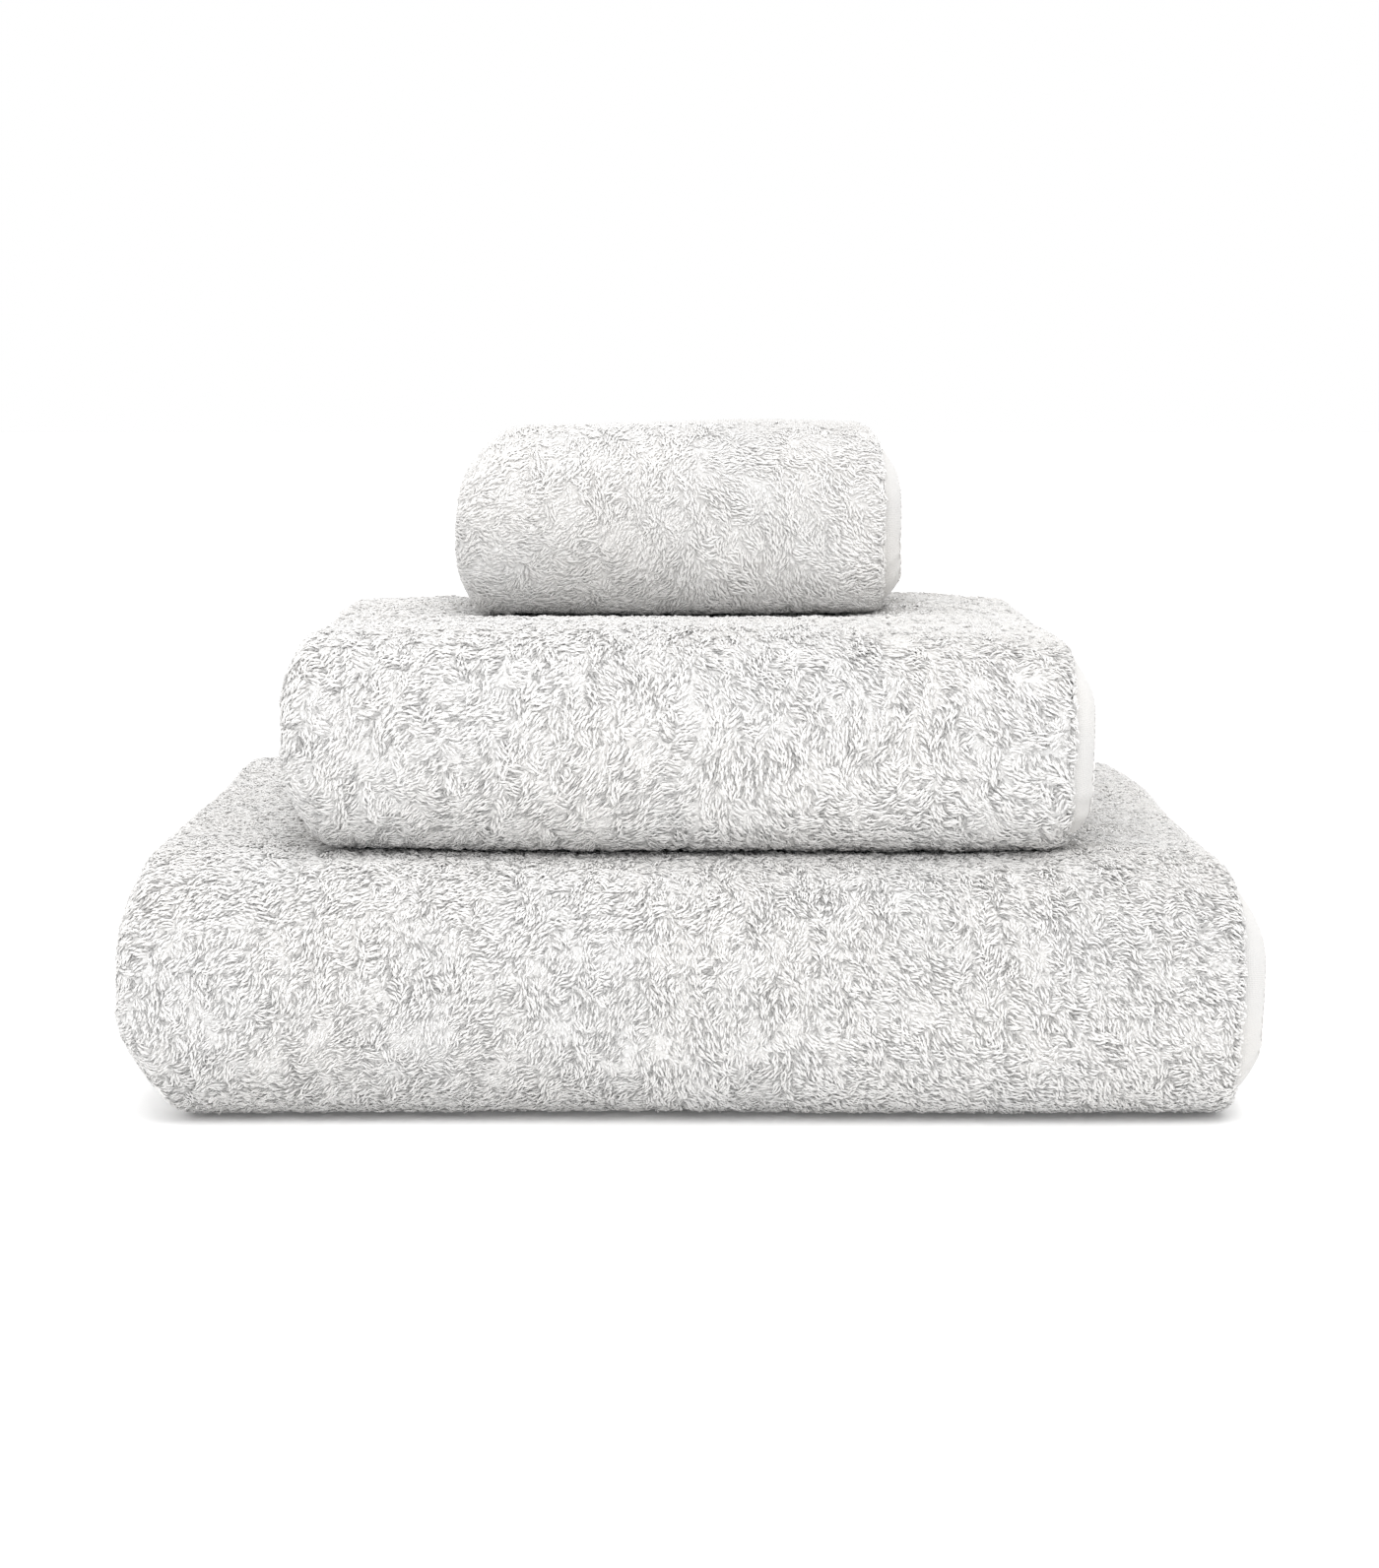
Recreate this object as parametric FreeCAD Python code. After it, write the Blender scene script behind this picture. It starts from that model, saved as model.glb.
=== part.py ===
"""Bath towel set: a bath, a hand and a guest towel, each folded, stacked in one pile.

Frame: millimetres, +Z up, Z = 0 is the flat underside of the bath towel, and the origin is the
centre of its footprint. The rounded front folds face -Y. Each towel is first folded in half
across its width, which leaves a closed fold at -X and two free side hems at +X. That double
strip is then folded in four along its length.
"""
import FreeCAD, Part
import math
import os
from dataclasses import dataclass

# What all three towels share
LEAF_GAP = 0.6  # between neighbouring leaves of one folded towel
TOWEL_GAP = 0.3  # between one towel and the next
RUNS = 4  # lengths of double strip on top of each other
OUTER_BEND = 1.5  # radius in run pitches, of the bend round the two middle runs
INNER_BEND = 0.5  # radius in run pitches, of the bends between neighbouring runs
THREAD_WIDTH = 0.9
THREAD_HEIGHT = 0.5
SEAM_INSET = 1.6  # from a hem's edge to the middle of its row of stitches

# The faces of the folded strip: which side of its middle a leaf or a seam lies on
OUTER = 1
INNER = -1


@dataclass(frozen=True)
class Towel:
    """One towel's flat size, and where it lies in the stack when it is folded."""

    name: str
    cut_width: float  # across, from side hem to side hem
    cut_length: float  # along, from end hem to end hem
    folded_height: float
    side_hem: float  # width of a side hem
    end_hem: float  # width of an end hem
    hem_thickness: float
    front_setback: float  # from the bath towel's front fold back to this one's
    centre_x: float

    @property
    def strip(self):
        """Thickness of the double strip."""
        return (self.folded_height - (RUNS - 1) * LEAF_GAP) / RUNS

    @property
    def leaf(self):
        """Thickness of one leaf of terry."""
        return (self.strip - LEAF_GAP) / 2

    @property
    def pitch(self):
        """Height from one run of the strip to the next."""
        return self.strip + LEAF_GAP

    @property
    def leaf_offset(self):
        """From the middle of the strip to the middle of either leaf."""
        return (self.leaf + LEAF_GAP) / 2

    @property
    def front_reach(self):
        """From the centre of the front bends to the front fold's outer face."""
        return 2 * self.pitch - LEAF_GAP / 2

    @property
    def back_reach(self):
        """From the centre of the back bend to its outer face."""
        return self.pitch - LEAF_GAP / 2

    @property
    def folded_width(self):
        """The width that half the cut width takes up once it bends round the side fold."""
        bend_length = math.pi * self.leaf_offset
        return (self.cut_width - bend_length) / 2 + self.strip / 2

    @property
    def folded_depth(self):
        """The depth at which four runs and their three bends use up the cut length."""
        bend_length = math.pi * (OUTER_BEND + 2 * INNER_BEND) * self.pitch
        straight_length = self.cut_length - bend_length + 2 * self.back_reach
        return straight_length / RUNS + self.front_reach


BATH = Towel("bath_towel", 700, 1400, 80.0, 12, 22, 3.4, 0, 0)
HAND = Towel("hand_towel", 500, 1000, 67.2, 11, 20, 3.2, 22, -1)
GUEST = Towel("guest_towel", 300, 500, 64.1, 10, 16, 2.8, 128, -3.6)


@dataclass(frozen=True)
class Span:
    """One straight run or one bend of the folded strip, in a Y-Z plane."""

    y: float
    z: float
    heading: int  # +1 where the strip leads backward at the span's start, -1 where it leads forward
    length: float = 0.0  # of a straight run
    radius: float = 0.0  # of a bend, at the middle of the strip
    turn: int = OUTER  # a bend is round the strip's inner face, or its outer one

    def place(self, x, offset):
        """The point at x, and at an offset outward from the strip's middle, at the span's start."""
        return FreeCAD.Vector(x, self.y, self.z + self.heading * offset)

    def carry(self, face):
        """The solid that a section's face makes as it goes along the span."""
        if self.length:
            return face.extrude(FreeCAD.Vector(0, self.heading * self.length, 0))
        toward_centre = -self.heading * self.turn
        centre = FreeCAD.Vector(0, self.y, self.z + toward_centre * self.radius)
        half_turn = 180 if self.turn == INNER else -180
        return face.revolve(centre, FreeCAD.Vector(1, 0, 0), half_turn)


class FoldedTowel:
    """Makes the solids of one towel at its place in the stack."""

    def __init__(self, towel, floor_z):
        self.towel = towel
        self.left_x = towel.centre_x - towel.folded_width / 2
        self.right_x = towel.centre_x + towel.folded_width / 2
        self.front_y = towel.front_setback - BATH.folded_depth / 2
        self.back_y = self.front_y + towel.folded_depth
        self.run_z = [floor_z + towel.strip / 2 + run * towel.pitch for run in range(RUNS)]

    def spans(self):
        """The strip from its lower end hem to its upper one.

        It starts at the back of the lowest run, goes round the front fold to the top run, and
        comes back through the two middle runs.
        """
        low_end, middle_end, middle_back, top = self.run_z
        outer_bend = OUTER_BEND * self.towel.pitch
        inner_bend = INNER_BEND * self.towel.pitch
        front = self.front_y + self.towel.front_reach
        back = self.back_y - self.towel.back_reach
        end = self.back_y - self.towel.end_hem
        return [
            Span(end, low_end, -1, length=end - front),
            Span(front, low_end, -1, radius=outer_bend),
            Span(front, top, 1, length=back - front),
            Span(back, top, 1, radius=inner_bend),
            Span(back, middle_back, -1, length=back - front),
            Span(front, middle_back, -1, radius=inner_bend, turn=INNER),
            Span(front, middle_end, 1, length=end - front),
        ]

    def sweep(self, draw):
        """Carries the face that draw makes at each span's start along that span."""
        first, *others = [span.carry(draw(span.place)) for span in self.spans()]
        return first.multiFuse(others).removeSplitter()

    @staticmethod
    def band(place, low_x, high_x, low_offset, high_offset):
        """A rectangular section."""
        corners = [
            place(low_x, low_offset),
            place(high_x, low_offset),
            place(high_x, high_offset),
            place(low_x, high_offset),
        ]
        return Part.Face(Part.makePolygon(corners + corners[:1]))

    def folded_band(self, place, right_x, inside, outside):
        """A section of both leaves in one: a C that is closed round the side fold."""
        fold_x = self.left_x + self.towel.strip / 2
        edges = [
            Part.LineSegment(place(right_x, outside), place(fold_x, outside)),
            Part.Arc(place(fold_x, outside), place(fold_x - outside, 0), place(fold_x, -outside)),
            Part.LineSegment(place(fold_x, -outside), place(right_x, -outside)),
            Part.LineSegment(place(right_x, -outside), place(right_x, -inside)),
            Part.LineSegment(place(right_x, -inside), place(fold_x, -inside)),
            Part.Arc(place(fold_x, -inside), place(fold_x - inside, 0), place(fold_x, inside)),
            Part.LineSegment(place(fold_x, inside), place(right_x, inside)),
            Part.LineSegment(place(right_x, inside), place(right_x, outside)),
        ]
        return Part.Face(Part.Wire([edge.toShape() for edge in edges]))

    def terry_panel(self):
        """The looped field of the towel: both leaves, the side fold and all four runs."""
        right_x = self.right_x - self.towel.side_hem
        outside = self.towel.strip / 2

        def draw(place):
            return self.folded_band(place, right_x, LEAF_GAP / 2, outside)

        return self.sweep(draw)

    def side_hem(self, face):
        """The flat band along one long edge, on the outer or the inner leaf of the strip."""
        towel = self.towel
        low = face * towel.leaf_offset - towel.hem_thickness / 2
        high = face * towel.leaf_offset + towel.hem_thickness / 2

        def draw(place):
            return self.band(place, self.right_x - towel.side_hem, self.right_x, low, high)

        return self.sweep(draw)

    def side_stitching(self, face):
        """Two rows of thread on the exposed face of a side hem, one near each edge."""
        towel = self.towel
        hem_face = face * (towel.leaf_offset + towel.hem_thickness / 2)
        low, high = sorted((hem_face, hem_face + face * THREAD_HEIGHT))
        rows = []
        for row_x in (self.right_x - towel.side_hem + SEAM_INSET, self.right_x - SEAM_INSET):
            left = row_x - THREAD_WIDTH / 2
            right = row_x + THREAD_WIDTH / 2
            rows.append(self.sweep(lambda place: self.band(place, left, right, low, high)))
        return Part.makeCompound(rows)

    def across_end(self, run, inside, outside, from_end, width):
        """A band that goes across a short end of the towel and wraps round the side fold."""
        span = Span(self.back_y - from_end, self.run_z[run], -1, length=width)
        return span.carry(self.folded_band(span.place, self.right_x, inside, outside))

    def end_hem(self, run):
        """The flat band across one short end."""
        towel = self.towel
        inside = towel.leaf_offset - towel.hem_thickness / 2
        outside = towel.leaf_offset + towel.hem_thickness / 2
        return self.across_end(run, inside, outside, 0, towel.end_hem)

    def end_stitching(self, run):
        """Two rows of thread on the outside of an end hem, one near each edge."""
        towel = self.towel
        inside = towel.leaf_offset + towel.hem_thickness / 2
        outside = inside + THREAD_HEIGHT
        rows = []
        for inset in (SEAM_INSET, towel.end_hem - SEAM_INSET):
            near_edge = inset - THREAD_WIDTH / 2
            rows.append(self.across_end(run, inside, outside, near_edge, THREAD_WIDTH))
        return Part.makeCompound(rows)

    def pieces(self):
        """Every piece of the towel by the last part of its node's name."""
        lower_end, upper_end = 0, 1
        return {
            "terry_panel": self.terry_panel(),
            "outer_side_hem": self.side_hem(OUTER),
            "inner_side_hem": self.side_hem(INNER),
            "lower_end_hem": self.end_hem(lower_end),
            "upper_end_hem": self.end_hem(upper_end),
            "outer_side_stitching": self.side_stitching(OUTER),
            "inner_side_stitching": self.side_stitching(INNER),
            "lower_end_stitching": self.end_stitching(lower_end),
            "upper_end_stitching": self.end_stitching(upper_end),
        }


def main():
    """Stacks the towels from the largest up, and writes one STEP file per piece."""
    os.makedirs("parts", exist_ok=True)
    floor_z = 0.0
    for towel in (BATH, HAND, GUEST):
        folded = FoldedTowel(towel, floor_z)
        print(f"{towel.name}: {towel.folded_width:.1f} x {towel.folded_depth:.1f} mm at {floor_z:.1f}")
        for piece_name, shape in folded.pieces().items():
            assert shape.isValid(), f"{towel.name}_{piece_name} is not a valid solid"
            shape.exportStep(f"parts/{towel.name}_{piece_name}.step")
            print(f"  {piece_name}: {shape.Volume / 1000:.1f} cm3, solids {len(shape.Solids)}")
        floor_z += towel.folded_height + TOWEL_GAP


main()
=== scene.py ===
"""Looks of a stack of three folded terry towels: a bath, a hand and a guest towel.

Each towel is one length of cloth, measured flat as a distance across it and a distance along it,
and laid into its folds by FoldedCloth. Every piece of a towel, from the ground cloth to a single
loop of pile, is drawn flat first and goes through the same folds, so the pieces stay together.
Metres throughout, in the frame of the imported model.
"""

import enum
import logging
import math
from dataclasses import dataclass, field

import bpy
import numpy as np
from mathutils import Euler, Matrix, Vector

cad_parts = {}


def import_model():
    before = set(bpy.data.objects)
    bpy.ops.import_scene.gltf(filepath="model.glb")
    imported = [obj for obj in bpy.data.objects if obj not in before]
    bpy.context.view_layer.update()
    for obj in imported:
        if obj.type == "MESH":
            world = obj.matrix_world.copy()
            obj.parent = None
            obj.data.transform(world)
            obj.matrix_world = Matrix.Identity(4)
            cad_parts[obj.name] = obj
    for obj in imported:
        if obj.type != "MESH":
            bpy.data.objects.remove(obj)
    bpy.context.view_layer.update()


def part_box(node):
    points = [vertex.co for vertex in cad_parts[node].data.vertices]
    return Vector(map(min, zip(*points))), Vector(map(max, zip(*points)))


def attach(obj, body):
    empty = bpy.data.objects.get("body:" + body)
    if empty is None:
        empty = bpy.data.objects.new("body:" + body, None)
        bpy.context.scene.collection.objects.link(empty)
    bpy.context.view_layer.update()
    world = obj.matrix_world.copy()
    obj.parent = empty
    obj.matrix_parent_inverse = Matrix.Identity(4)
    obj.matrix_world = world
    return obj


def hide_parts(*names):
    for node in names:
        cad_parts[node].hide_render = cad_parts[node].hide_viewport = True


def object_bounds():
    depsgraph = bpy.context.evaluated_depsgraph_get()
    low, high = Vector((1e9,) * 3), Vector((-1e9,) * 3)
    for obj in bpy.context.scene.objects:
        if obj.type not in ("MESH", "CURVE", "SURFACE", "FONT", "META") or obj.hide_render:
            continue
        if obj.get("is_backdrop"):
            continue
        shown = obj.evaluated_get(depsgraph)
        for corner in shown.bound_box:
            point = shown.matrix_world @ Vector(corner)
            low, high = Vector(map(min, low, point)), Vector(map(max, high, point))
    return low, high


LOG = logging.getLogger("towels")

MM = 0.001
LEAF_GAP = 0.6 * MM  # between neighbouring leaves of one folded towel
RUNS = 4  # lengths of double strip on top of each other
WIDE_BEND = 1.5  # radius of the front bend, next to the distance from one run to the next
TIGHT_BEND = 0.5  # radius of the two bends inside it
STITCH_PITCH = 3.9 * MM
BAKE_MAP = "OFBake"  # the name under which a mesh keeps a map of its own for painting

Area = tuple[float, float, float, float]  # low x, high x, low y, high y
Colour = tuple[float, float, float, float]
Pair = tuple[np.ndarray, np.ndarray]
Place = tuple[float, float, float]
Socket = bpy.types.NodeSocket
Value = Socket | float  # what a node's input takes: a link or a number


class Face(enum.IntEnum):
    """The two faces of the cloth: the one that the folds leave outside, and the one inside."""

    OUTSIDE = 1
    INSIDE = -1


class Leaf(enum.IntEnum):
    """The two halves of a towel folded across its width."""

    OUTER = 1
    INNER = -1


class Edge(enum.Enum):
    """The four edges of a towel, by the name of the hem on each."""

    OUTER_SIDE = "outer_side"
    INNER_SIDE = "inner_side"
    LOWER_END = "lower_end"
    UPPER_END = "upper_end"

    @property
    def lengthwise(self) -> bool:
        """Whether the edge runs along the towel's length."""
        return self in (Edge.OUTER_SIDE, Edge.INNER_SIDE)

    @property
    def far(self) -> bool:
        """Whether the cloth is measured towards this edge, and not away from it."""
        return self in (Edge.INNER_SIDE, Edge.UPPER_END)


# ------------------------------------------------------------------------------ small tools


def smooth(value: np.ndarray) -> np.ndarray:
    """Eases a value from 0 to 1, level at both ends."""
    clipped = np.clip(value, 0.0, 1.0)
    return clipped * clipped * (3.0 - 2.0 * clipped)


def unit(vectors: np.ndarray) -> np.ndarray:
    """The same directions at length 1."""
    lengths = np.linalg.norm(vectors, axis=-1, keepdims=True)
    return vectors / np.maximum(lengths, 1e-12)


class Drift:
    """A smooth random value over the cloth or through space, with a spread of about 1."""

    def __init__(self, seed: int, wavelength: float, dimensions: int = 2, waves: int = 10) -> None:
        """Draws the plane waves that the value is the sum of.

        Args:
            seed: fixes the draw.
            wavelength: the usual distance from one crest to the next.
            dimensions: how many coordinates the value depends on.
            waves: how many plane waves are added.
        """
        rng = np.random.default_rng(seed)
        lengths = wavelength * rng.uniform(0.65, 1.6, (waves, 1))
        self.waves = unit(rng.normal(size=(waves, dimensions))) * (2 * math.pi / lengths)
        self.phases = rng.uniform(0, 2 * math.pi, waves)

    def __call__(self, *coordinates: np.ndarray) -> np.ndarray:
        """Adds the waves up.

        Args:
            coordinates: one array for each dimension.

        Returns:
            The value at each point.
        """
        points = np.stack(np.broadcast_arrays(*coordinates), axis=-1)
        total = np.zeros(points.shape[:-1])
        for wave, phase in zip(self.waves, self.phases):
            total += np.sin(points @ wave + phase)
        return total * math.sqrt(2 / len(self.phases))


class MeshMaker:
    """Turns arrays of points and four-sided faces into a mesh object."""

    @staticmethod
    def build(
        name: str,
        points: np.ndarray,
        quads: np.ndarray,
        maps: dict[str, np.ndarray] | None = None,
        values: dict[str, np.ndarray] | None = None,
    ) -> bpy.types.Object:
        """Makes one smooth-shaded object.

        Args:
            name: the piece's name.
            points: corner points, n by 3.
            quads: indices of each face's four corners, m by 4.
            maps: surface maps by name, with a pair of numbers per face corner.
            values: values by name, one per point.

        Returns:
            The object, linked into the scene.
        """
        mesh = bpy.data.meshes.new(name)
        mesh.vertices.add(len(points))
        mesh.vertices.foreach_set("co", points.astype(np.float32).ravel())
        mesh.loops.add(quads.size)
        mesh.loops.foreach_set("vertex_index", quads.astype(np.int32).ravel())
        mesh.polygons.add(len(quads))
        starts = np.arange(0, quads.size, 4, dtype=np.int32)
        mesh.polygons.foreach_set("loop_start", starts)
        mesh.update(calc_edges=True)
        mesh.shade_smooth()
        for map_name, corners in (maps or {}).items():
            layer = mesh.uv_layers.new(name=map_name)
            layer.uv.foreach_set("vector", corners.astype(np.float32).ravel())
        for value_name, numbers in (values or {}).items():
            attribute = mesh.attributes.new(value_name, "FLOAT", "POINT")
            attribute.data.foreach_set("value", numbers.astype(np.float32).ravel())
        piece = bpy.data.objects.new(name, mesh)
        bpy.context.scene.collection.objects.link(piece)
        return piece


# ------------------------------------------------------------------------------ the folds


@dataclass
class FreeEdge:
    """How the cloth rolls over towards its free edge, seen end on."""

    reach: float  # length of cloth that rolls
    turn: float  # angle that it has rolled by at the edge
    offset: float  # of the cloth's middle from the strip's middle, before it rolls
    edge_x: float  # how far out the rolled cloth comes

    def __post_init__(self) -> None:
        """Adds up the roll from the edge inwards."""
        self.steps = np.linspace(0.0, self.reach, 200)
        angles = self.angle(self.steps)
        step = self.steps[1]
        sideways = np.cos(angles)
        inward = np.sin(angles)
        self.run = np.concatenate([[0.0], np.cumsum((sideways[1:] + sideways[:-1]) / 2) * step])
        fallen = np.concatenate([[0.0], np.cumsum((inward[1:] + inward[:-1]) / 2) * step])
        self.fall = fallen[-1] - fallen

    def angle(self, from_edge: np.ndarray) -> np.ndarray:
        """The angle that the cloth has rolled by at a distance from its edge."""
        return self.turn * np.clip(1.0 - from_edge / self.reach, 0.0, 1.0) ** 1.5

    def length_to(self, x: float) -> float:
        """The length of cloth from the edge in to a place on the flat."""
        return self.edge_x - x + self.reach - self.run[-1]

    def lay(self, from_edge: np.ndarray, proud: np.ndarray) -> Pair:
        """Places points of the leaf in the strip's end-on view.

        Args:
            from_edge: distance from the free edge, along the cloth.
            proud: height above the cloth's middle, outward from the strip.

        Returns:
            The x, and the offset outward from the strip's middle.
        """
        beyond = np.maximum(from_edge - self.reach, 0.0)
        run = np.interp(from_edge, self.steps, self.run) + beyond
        fall = np.interp(from_edge, self.steps, self.fall)
        angle = self.angle(from_edge)
        x = self.edge_x - run + proud * np.sin(angle)
        return x, self.offset - fall + proud * np.cos(angle)


@dataclass(frozen=True)
class Shoulder:
    """How far one corner of the folded stack is rounded, seen from the front."""

    sideways: float
    upright: float
    tuck: float = 0.0  # how much further in the end of the cloth lies at the very corner


@dataclass(frozen=True)
class Shoulders:
    """The four rounded corners of a folded towel, seen from the front."""

    upper_left: Shoulder
    upper_right: Shoulder
    lower_left: Shoulder
    lower_right: Shoulder


@dataclass
class Settling:
    """How a folded towel has settled under its own weight and that of what lies on it."""

    floor_z: float
    height: float
    left_x: float
    right_x: float
    load: Area | None  # where another towel lies on it
    shoulders: Shoulders
    droop_right: float
    droop_left: float = 1.0 * MM
    droop_reach: float = 52 * MM
    swell: float = 1.3 * MM
    swell_edge: float = 14 * MM
    tuck_reach: float = 60 * MM
    wave: float = 0.8 * MM
    wavelength: float = 160 * MM
    grounded_below: float = 30 * MM  # the height under which the floor holds the waves down

    def __post_init__(self) -> None:
        """Draws the waves, which are the same for every towel, so that they stay in touch."""
        self.waves = [Drift(seed, self.wavelength, dimensions=3) for seed in (11, 12, 13)]

    def _round_corners(self, x: np.ndarray, z: np.ndarray) -> Pair:
        """Draws the corners of the front view in, each to its own quarter of an ellipse.

        Args:
            x: of points of the neatly folded towel.
            z: of the same points.

        Returns:
            The new x and z.
        """
        corners = self.shoulders
        for side, end_x, upper, lower in (
            (-1, self.left_x, corners.upper_left, corners.lower_left),
            (1, self.right_x, corners.upper_right, corners.lower_right),
        ):
            for up, end_z, corner in (
                (1, self.floor_z + self.height, upper),
                (-1, self.floor_z, lower),
            ):
                centre_x = end_x - side * corner.sideways
                centre_z = end_z - up * corner.upright
                out = np.clip(side * (x - centre_x) / corner.sideways, 0.0, 1.2)
                high = np.clip(up * (z - centre_z) / corner.upright, 0.0, 1.2)
                near_end = smooth(1 - side * (end_x - x) / self.tuck_reach)
                x = x - side * corner.tuck * near_end * high**1.6
                x = x - side * corner.sideways * out * (1 - np.sqrt(1 - high**2 / 2))
                z = z - up * corner.upright * high * (1 - np.sqrt(1 - out**2 / 2))
        return x, z

    def settle(self, points: np.ndarray) -> np.ndarray:
        """Moves points of the neatly folded towel to where they have settled.

        Args:
            points: x, y and z in the last axis.

        Returns:
            The moved points, in the same order.
        """
        y = points[..., 1]
        x, z = self._round_corners(points[..., 0], points[..., 2])
        share = np.clip((z - self.floor_z) / self.height, 0.0, 1.0)
        right = smooth((x - self.right_x + self.droop_reach) / self.droop_reach)
        left = smooth((self.left_x + self.droop_reach - x) / self.droop_reach)
        lift = -self.droop_right * right - self.droop_left * left
        if self.load:
            low_x, high_x, low_y, high_y = self.load
            outside = np.maximum.reduce([low_x - x, x - high_x, low_y - y, y - high_y])
            lift = lift + self.swell * smooth(outside / self.swell_edge)
        grounded = smooth(z / self.grounded_below)
        return np.stack(
            [
                x + self.wave * self.waves[0](x, y, z),
                y + self.wave * self.waves[1](x, y, z),
                z + lift * share + 0.7 * self.wave * grounded * self.waves[2](x, y, z),
            ],
            axis=-1,
        )


@dataclass
class FoldedCloth:
    """Where each point of a flat towel lies once it is folded.

    The towel is folded in half across, which leaves a closed side fold on the left, and the
    double strip is then folded in four along its length. It starts at the back of the lowest
    run, goes round the front to the top run, and comes back through the two middle runs.
    """

    name: str
    load_on_top: Area | None
    shoulders: Shoulders
    droop_right: float
    settling: Settling = field(init=False)
    outer_roll: float = math.radians(66)
    inner_roll: float = math.radians(20)
    inner_leaf_short: float = 3.0 * MM
    lower_fullness: float = 0.15  # how much fuller than a half circle the front bend is
    upper_fullness: float = 0.06
    edge_past_hem: float = 7 * MM  # how far in from the hem the free edges start to roll

    def __post_init__(self) -> None:
        """Takes every size from the towel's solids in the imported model."""
        panel_low, panel_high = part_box(f"{self.name}_terry_panel")
        _, hem_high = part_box(f"{self.name}_outer_side_hem")
        end_low, end_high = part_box(f"{self.name}_lower_end_hem")
        self.left_x = panel_low[0]
        self.right_x = hem_high[0]
        self.front_y = panel_low[1]
        self.back_y = panel_high[1]
        self.floor_z = panel_low[2]
        self.height = panel_high[2] - panel_low[2]
        self.side_hem = hem_high[0] - panel_high[0]
        self.end_hem = end_high[1] - end_low[1]
        self.strip = (self.height - (RUNS - 1) * LEAF_GAP) / RUNS
        self.leaf = (self.strip - LEAF_GAP) / 2
        self.pitch = self.strip + LEAF_GAP
        self.leaf_offset = (self.leaf + LEAF_GAP) / 2
        self.hem_thickness = end_high[2] - end_low[2] - 2 * self.leaf_offset
        self._measure_across()
        self._measure_along()
        self.settling = Settling(
            self.floor_z,
            self.height,
            self.left_x,
            self.right_x,
            self.load_on_top,
            self.shoulders,
            self.droop_right,
        )

    def _measure_across(self) -> None:
        """Finds the lengths of cloth in the outer leaf, the side fold and the inner leaf."""
        reach = self.side_hem + self.edge_past_hem
        self.fold_x = self.left_x + self.strip / 2
        self.edges = {
            Leaf.OUTER: FreeEdge(reach, self.outer_roll, self.leaf_offset, self.right_x),
            Leaf.INNER: FreeEdge(
                reach, self.inner_roll, self.leaf_offset, self.right_x - self.inner_leaf_short
            ),
        }
        self.fold_start = self.edges[Leaf.OUTER].length_to(self.fold_x)
        self.fold_end = self.fold_start + math.pi * self.leaf_offset
        self.width = self.fold_end + self.edges[Leaf.INNER].length_to(self.fold_x)

    def _measure_along(self) -> None:
        """Finds where each run and each bend starts, measured along the strip."""
        self.front_centre_y = self.front_y + 2 * self.pitch - LEAF_GAP / 2
        self.back_centre_y = self.back_y - self.pitch + LEAF_GAP / 2
        long_run = self.back_y - self.front_centre_y
        short_run = self.back_centre_y - self.front_centre_y
        wide_bend = math.pi * WIDE_BEND * self.pitch
        tight_bend = math.pi * TIGHT_BEND * self.pitch
        spans = [long_run, wide_bend, short_run, tight_bend, short_run, tight_bend, long_run]
        self.marks = np.concatenate([[0.0], np.cumsum(spans)])
        self.length = self.marks[-1]

    def place(self, across: np.ndarray, along: np.ndarray, proud: np.ndarray) -> np.ndarray:
        """Lays points of the flat cloth into the folds.

        Args:
            across: distance from the outer leaf's free edge, over the side fold, to the inner's.
            along: distance from the lower end of the strip.
            proud: height above the middle of the cloth, on the face that the folds leave outside.

        Returns:
            The points in space, one row of three each.
        """
        across, along, proud = np.broadcast_arrays(across, along, proud)
        x, offset = self._fold_across(across, proud)
        y, z = self._fold_along(along, offset)
        return self.settling.settle(np.stack([x, y, z], axis=-1))

    def _fold_across(self, across: np.ndarray, proud: np.ndarray) -> Pair:
        """Folds the cloth in half over the side fold.

        Args:
            across: distance from the outer leaf's free edge.
            proud: height above the middle of the cloth.

        Returns:
            The x, and the offset outward from the strip's middle.
        """
        outer_x, outer_offset = self.edges[Leaf.OUTER].lay(across, proud)
        inner_x, inner_offset = self.edges[Leaf.INNER].lay(self.width - across, proud)
        angle = np.clip((across - self.fold_start) / self.leaf_offset, 0.0, math.pi)
        radius = self.leaf_offset + proud
        on_outer = across < self.fold_start
        on_inner = across > self.fold_end
        x = np.where(on_outer, outer_x, self.fold_x - radius * np.sin(angle))
        x = np.where(on_inner, inner_x, x)
        offset = np.where(on_outer, outer_offset, radius * np.cos(angle))
        offset = np.where(on_inner, -inner_offset, offset)
        return x, offset

    def _fold_along(self, along: np.ndarray, offset: np.ndarray) -> Pair:
        """Folds the strip in four.

        Args:
            along: distance from the lower end of the strip.
            offset: outward from the strip's middle.

        Returns:
            The y and the z.
        """
        pitch, marks = self.pitch, self.marks
        low, lower_middle, upper_middle, top = (
            self.floor_z + self.strip / 2 + run * pitch for run in range(RUNS)
        )
        middle = (low + top) / 2
        front, back = self.front_centre_y, self.back_centre_y

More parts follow.
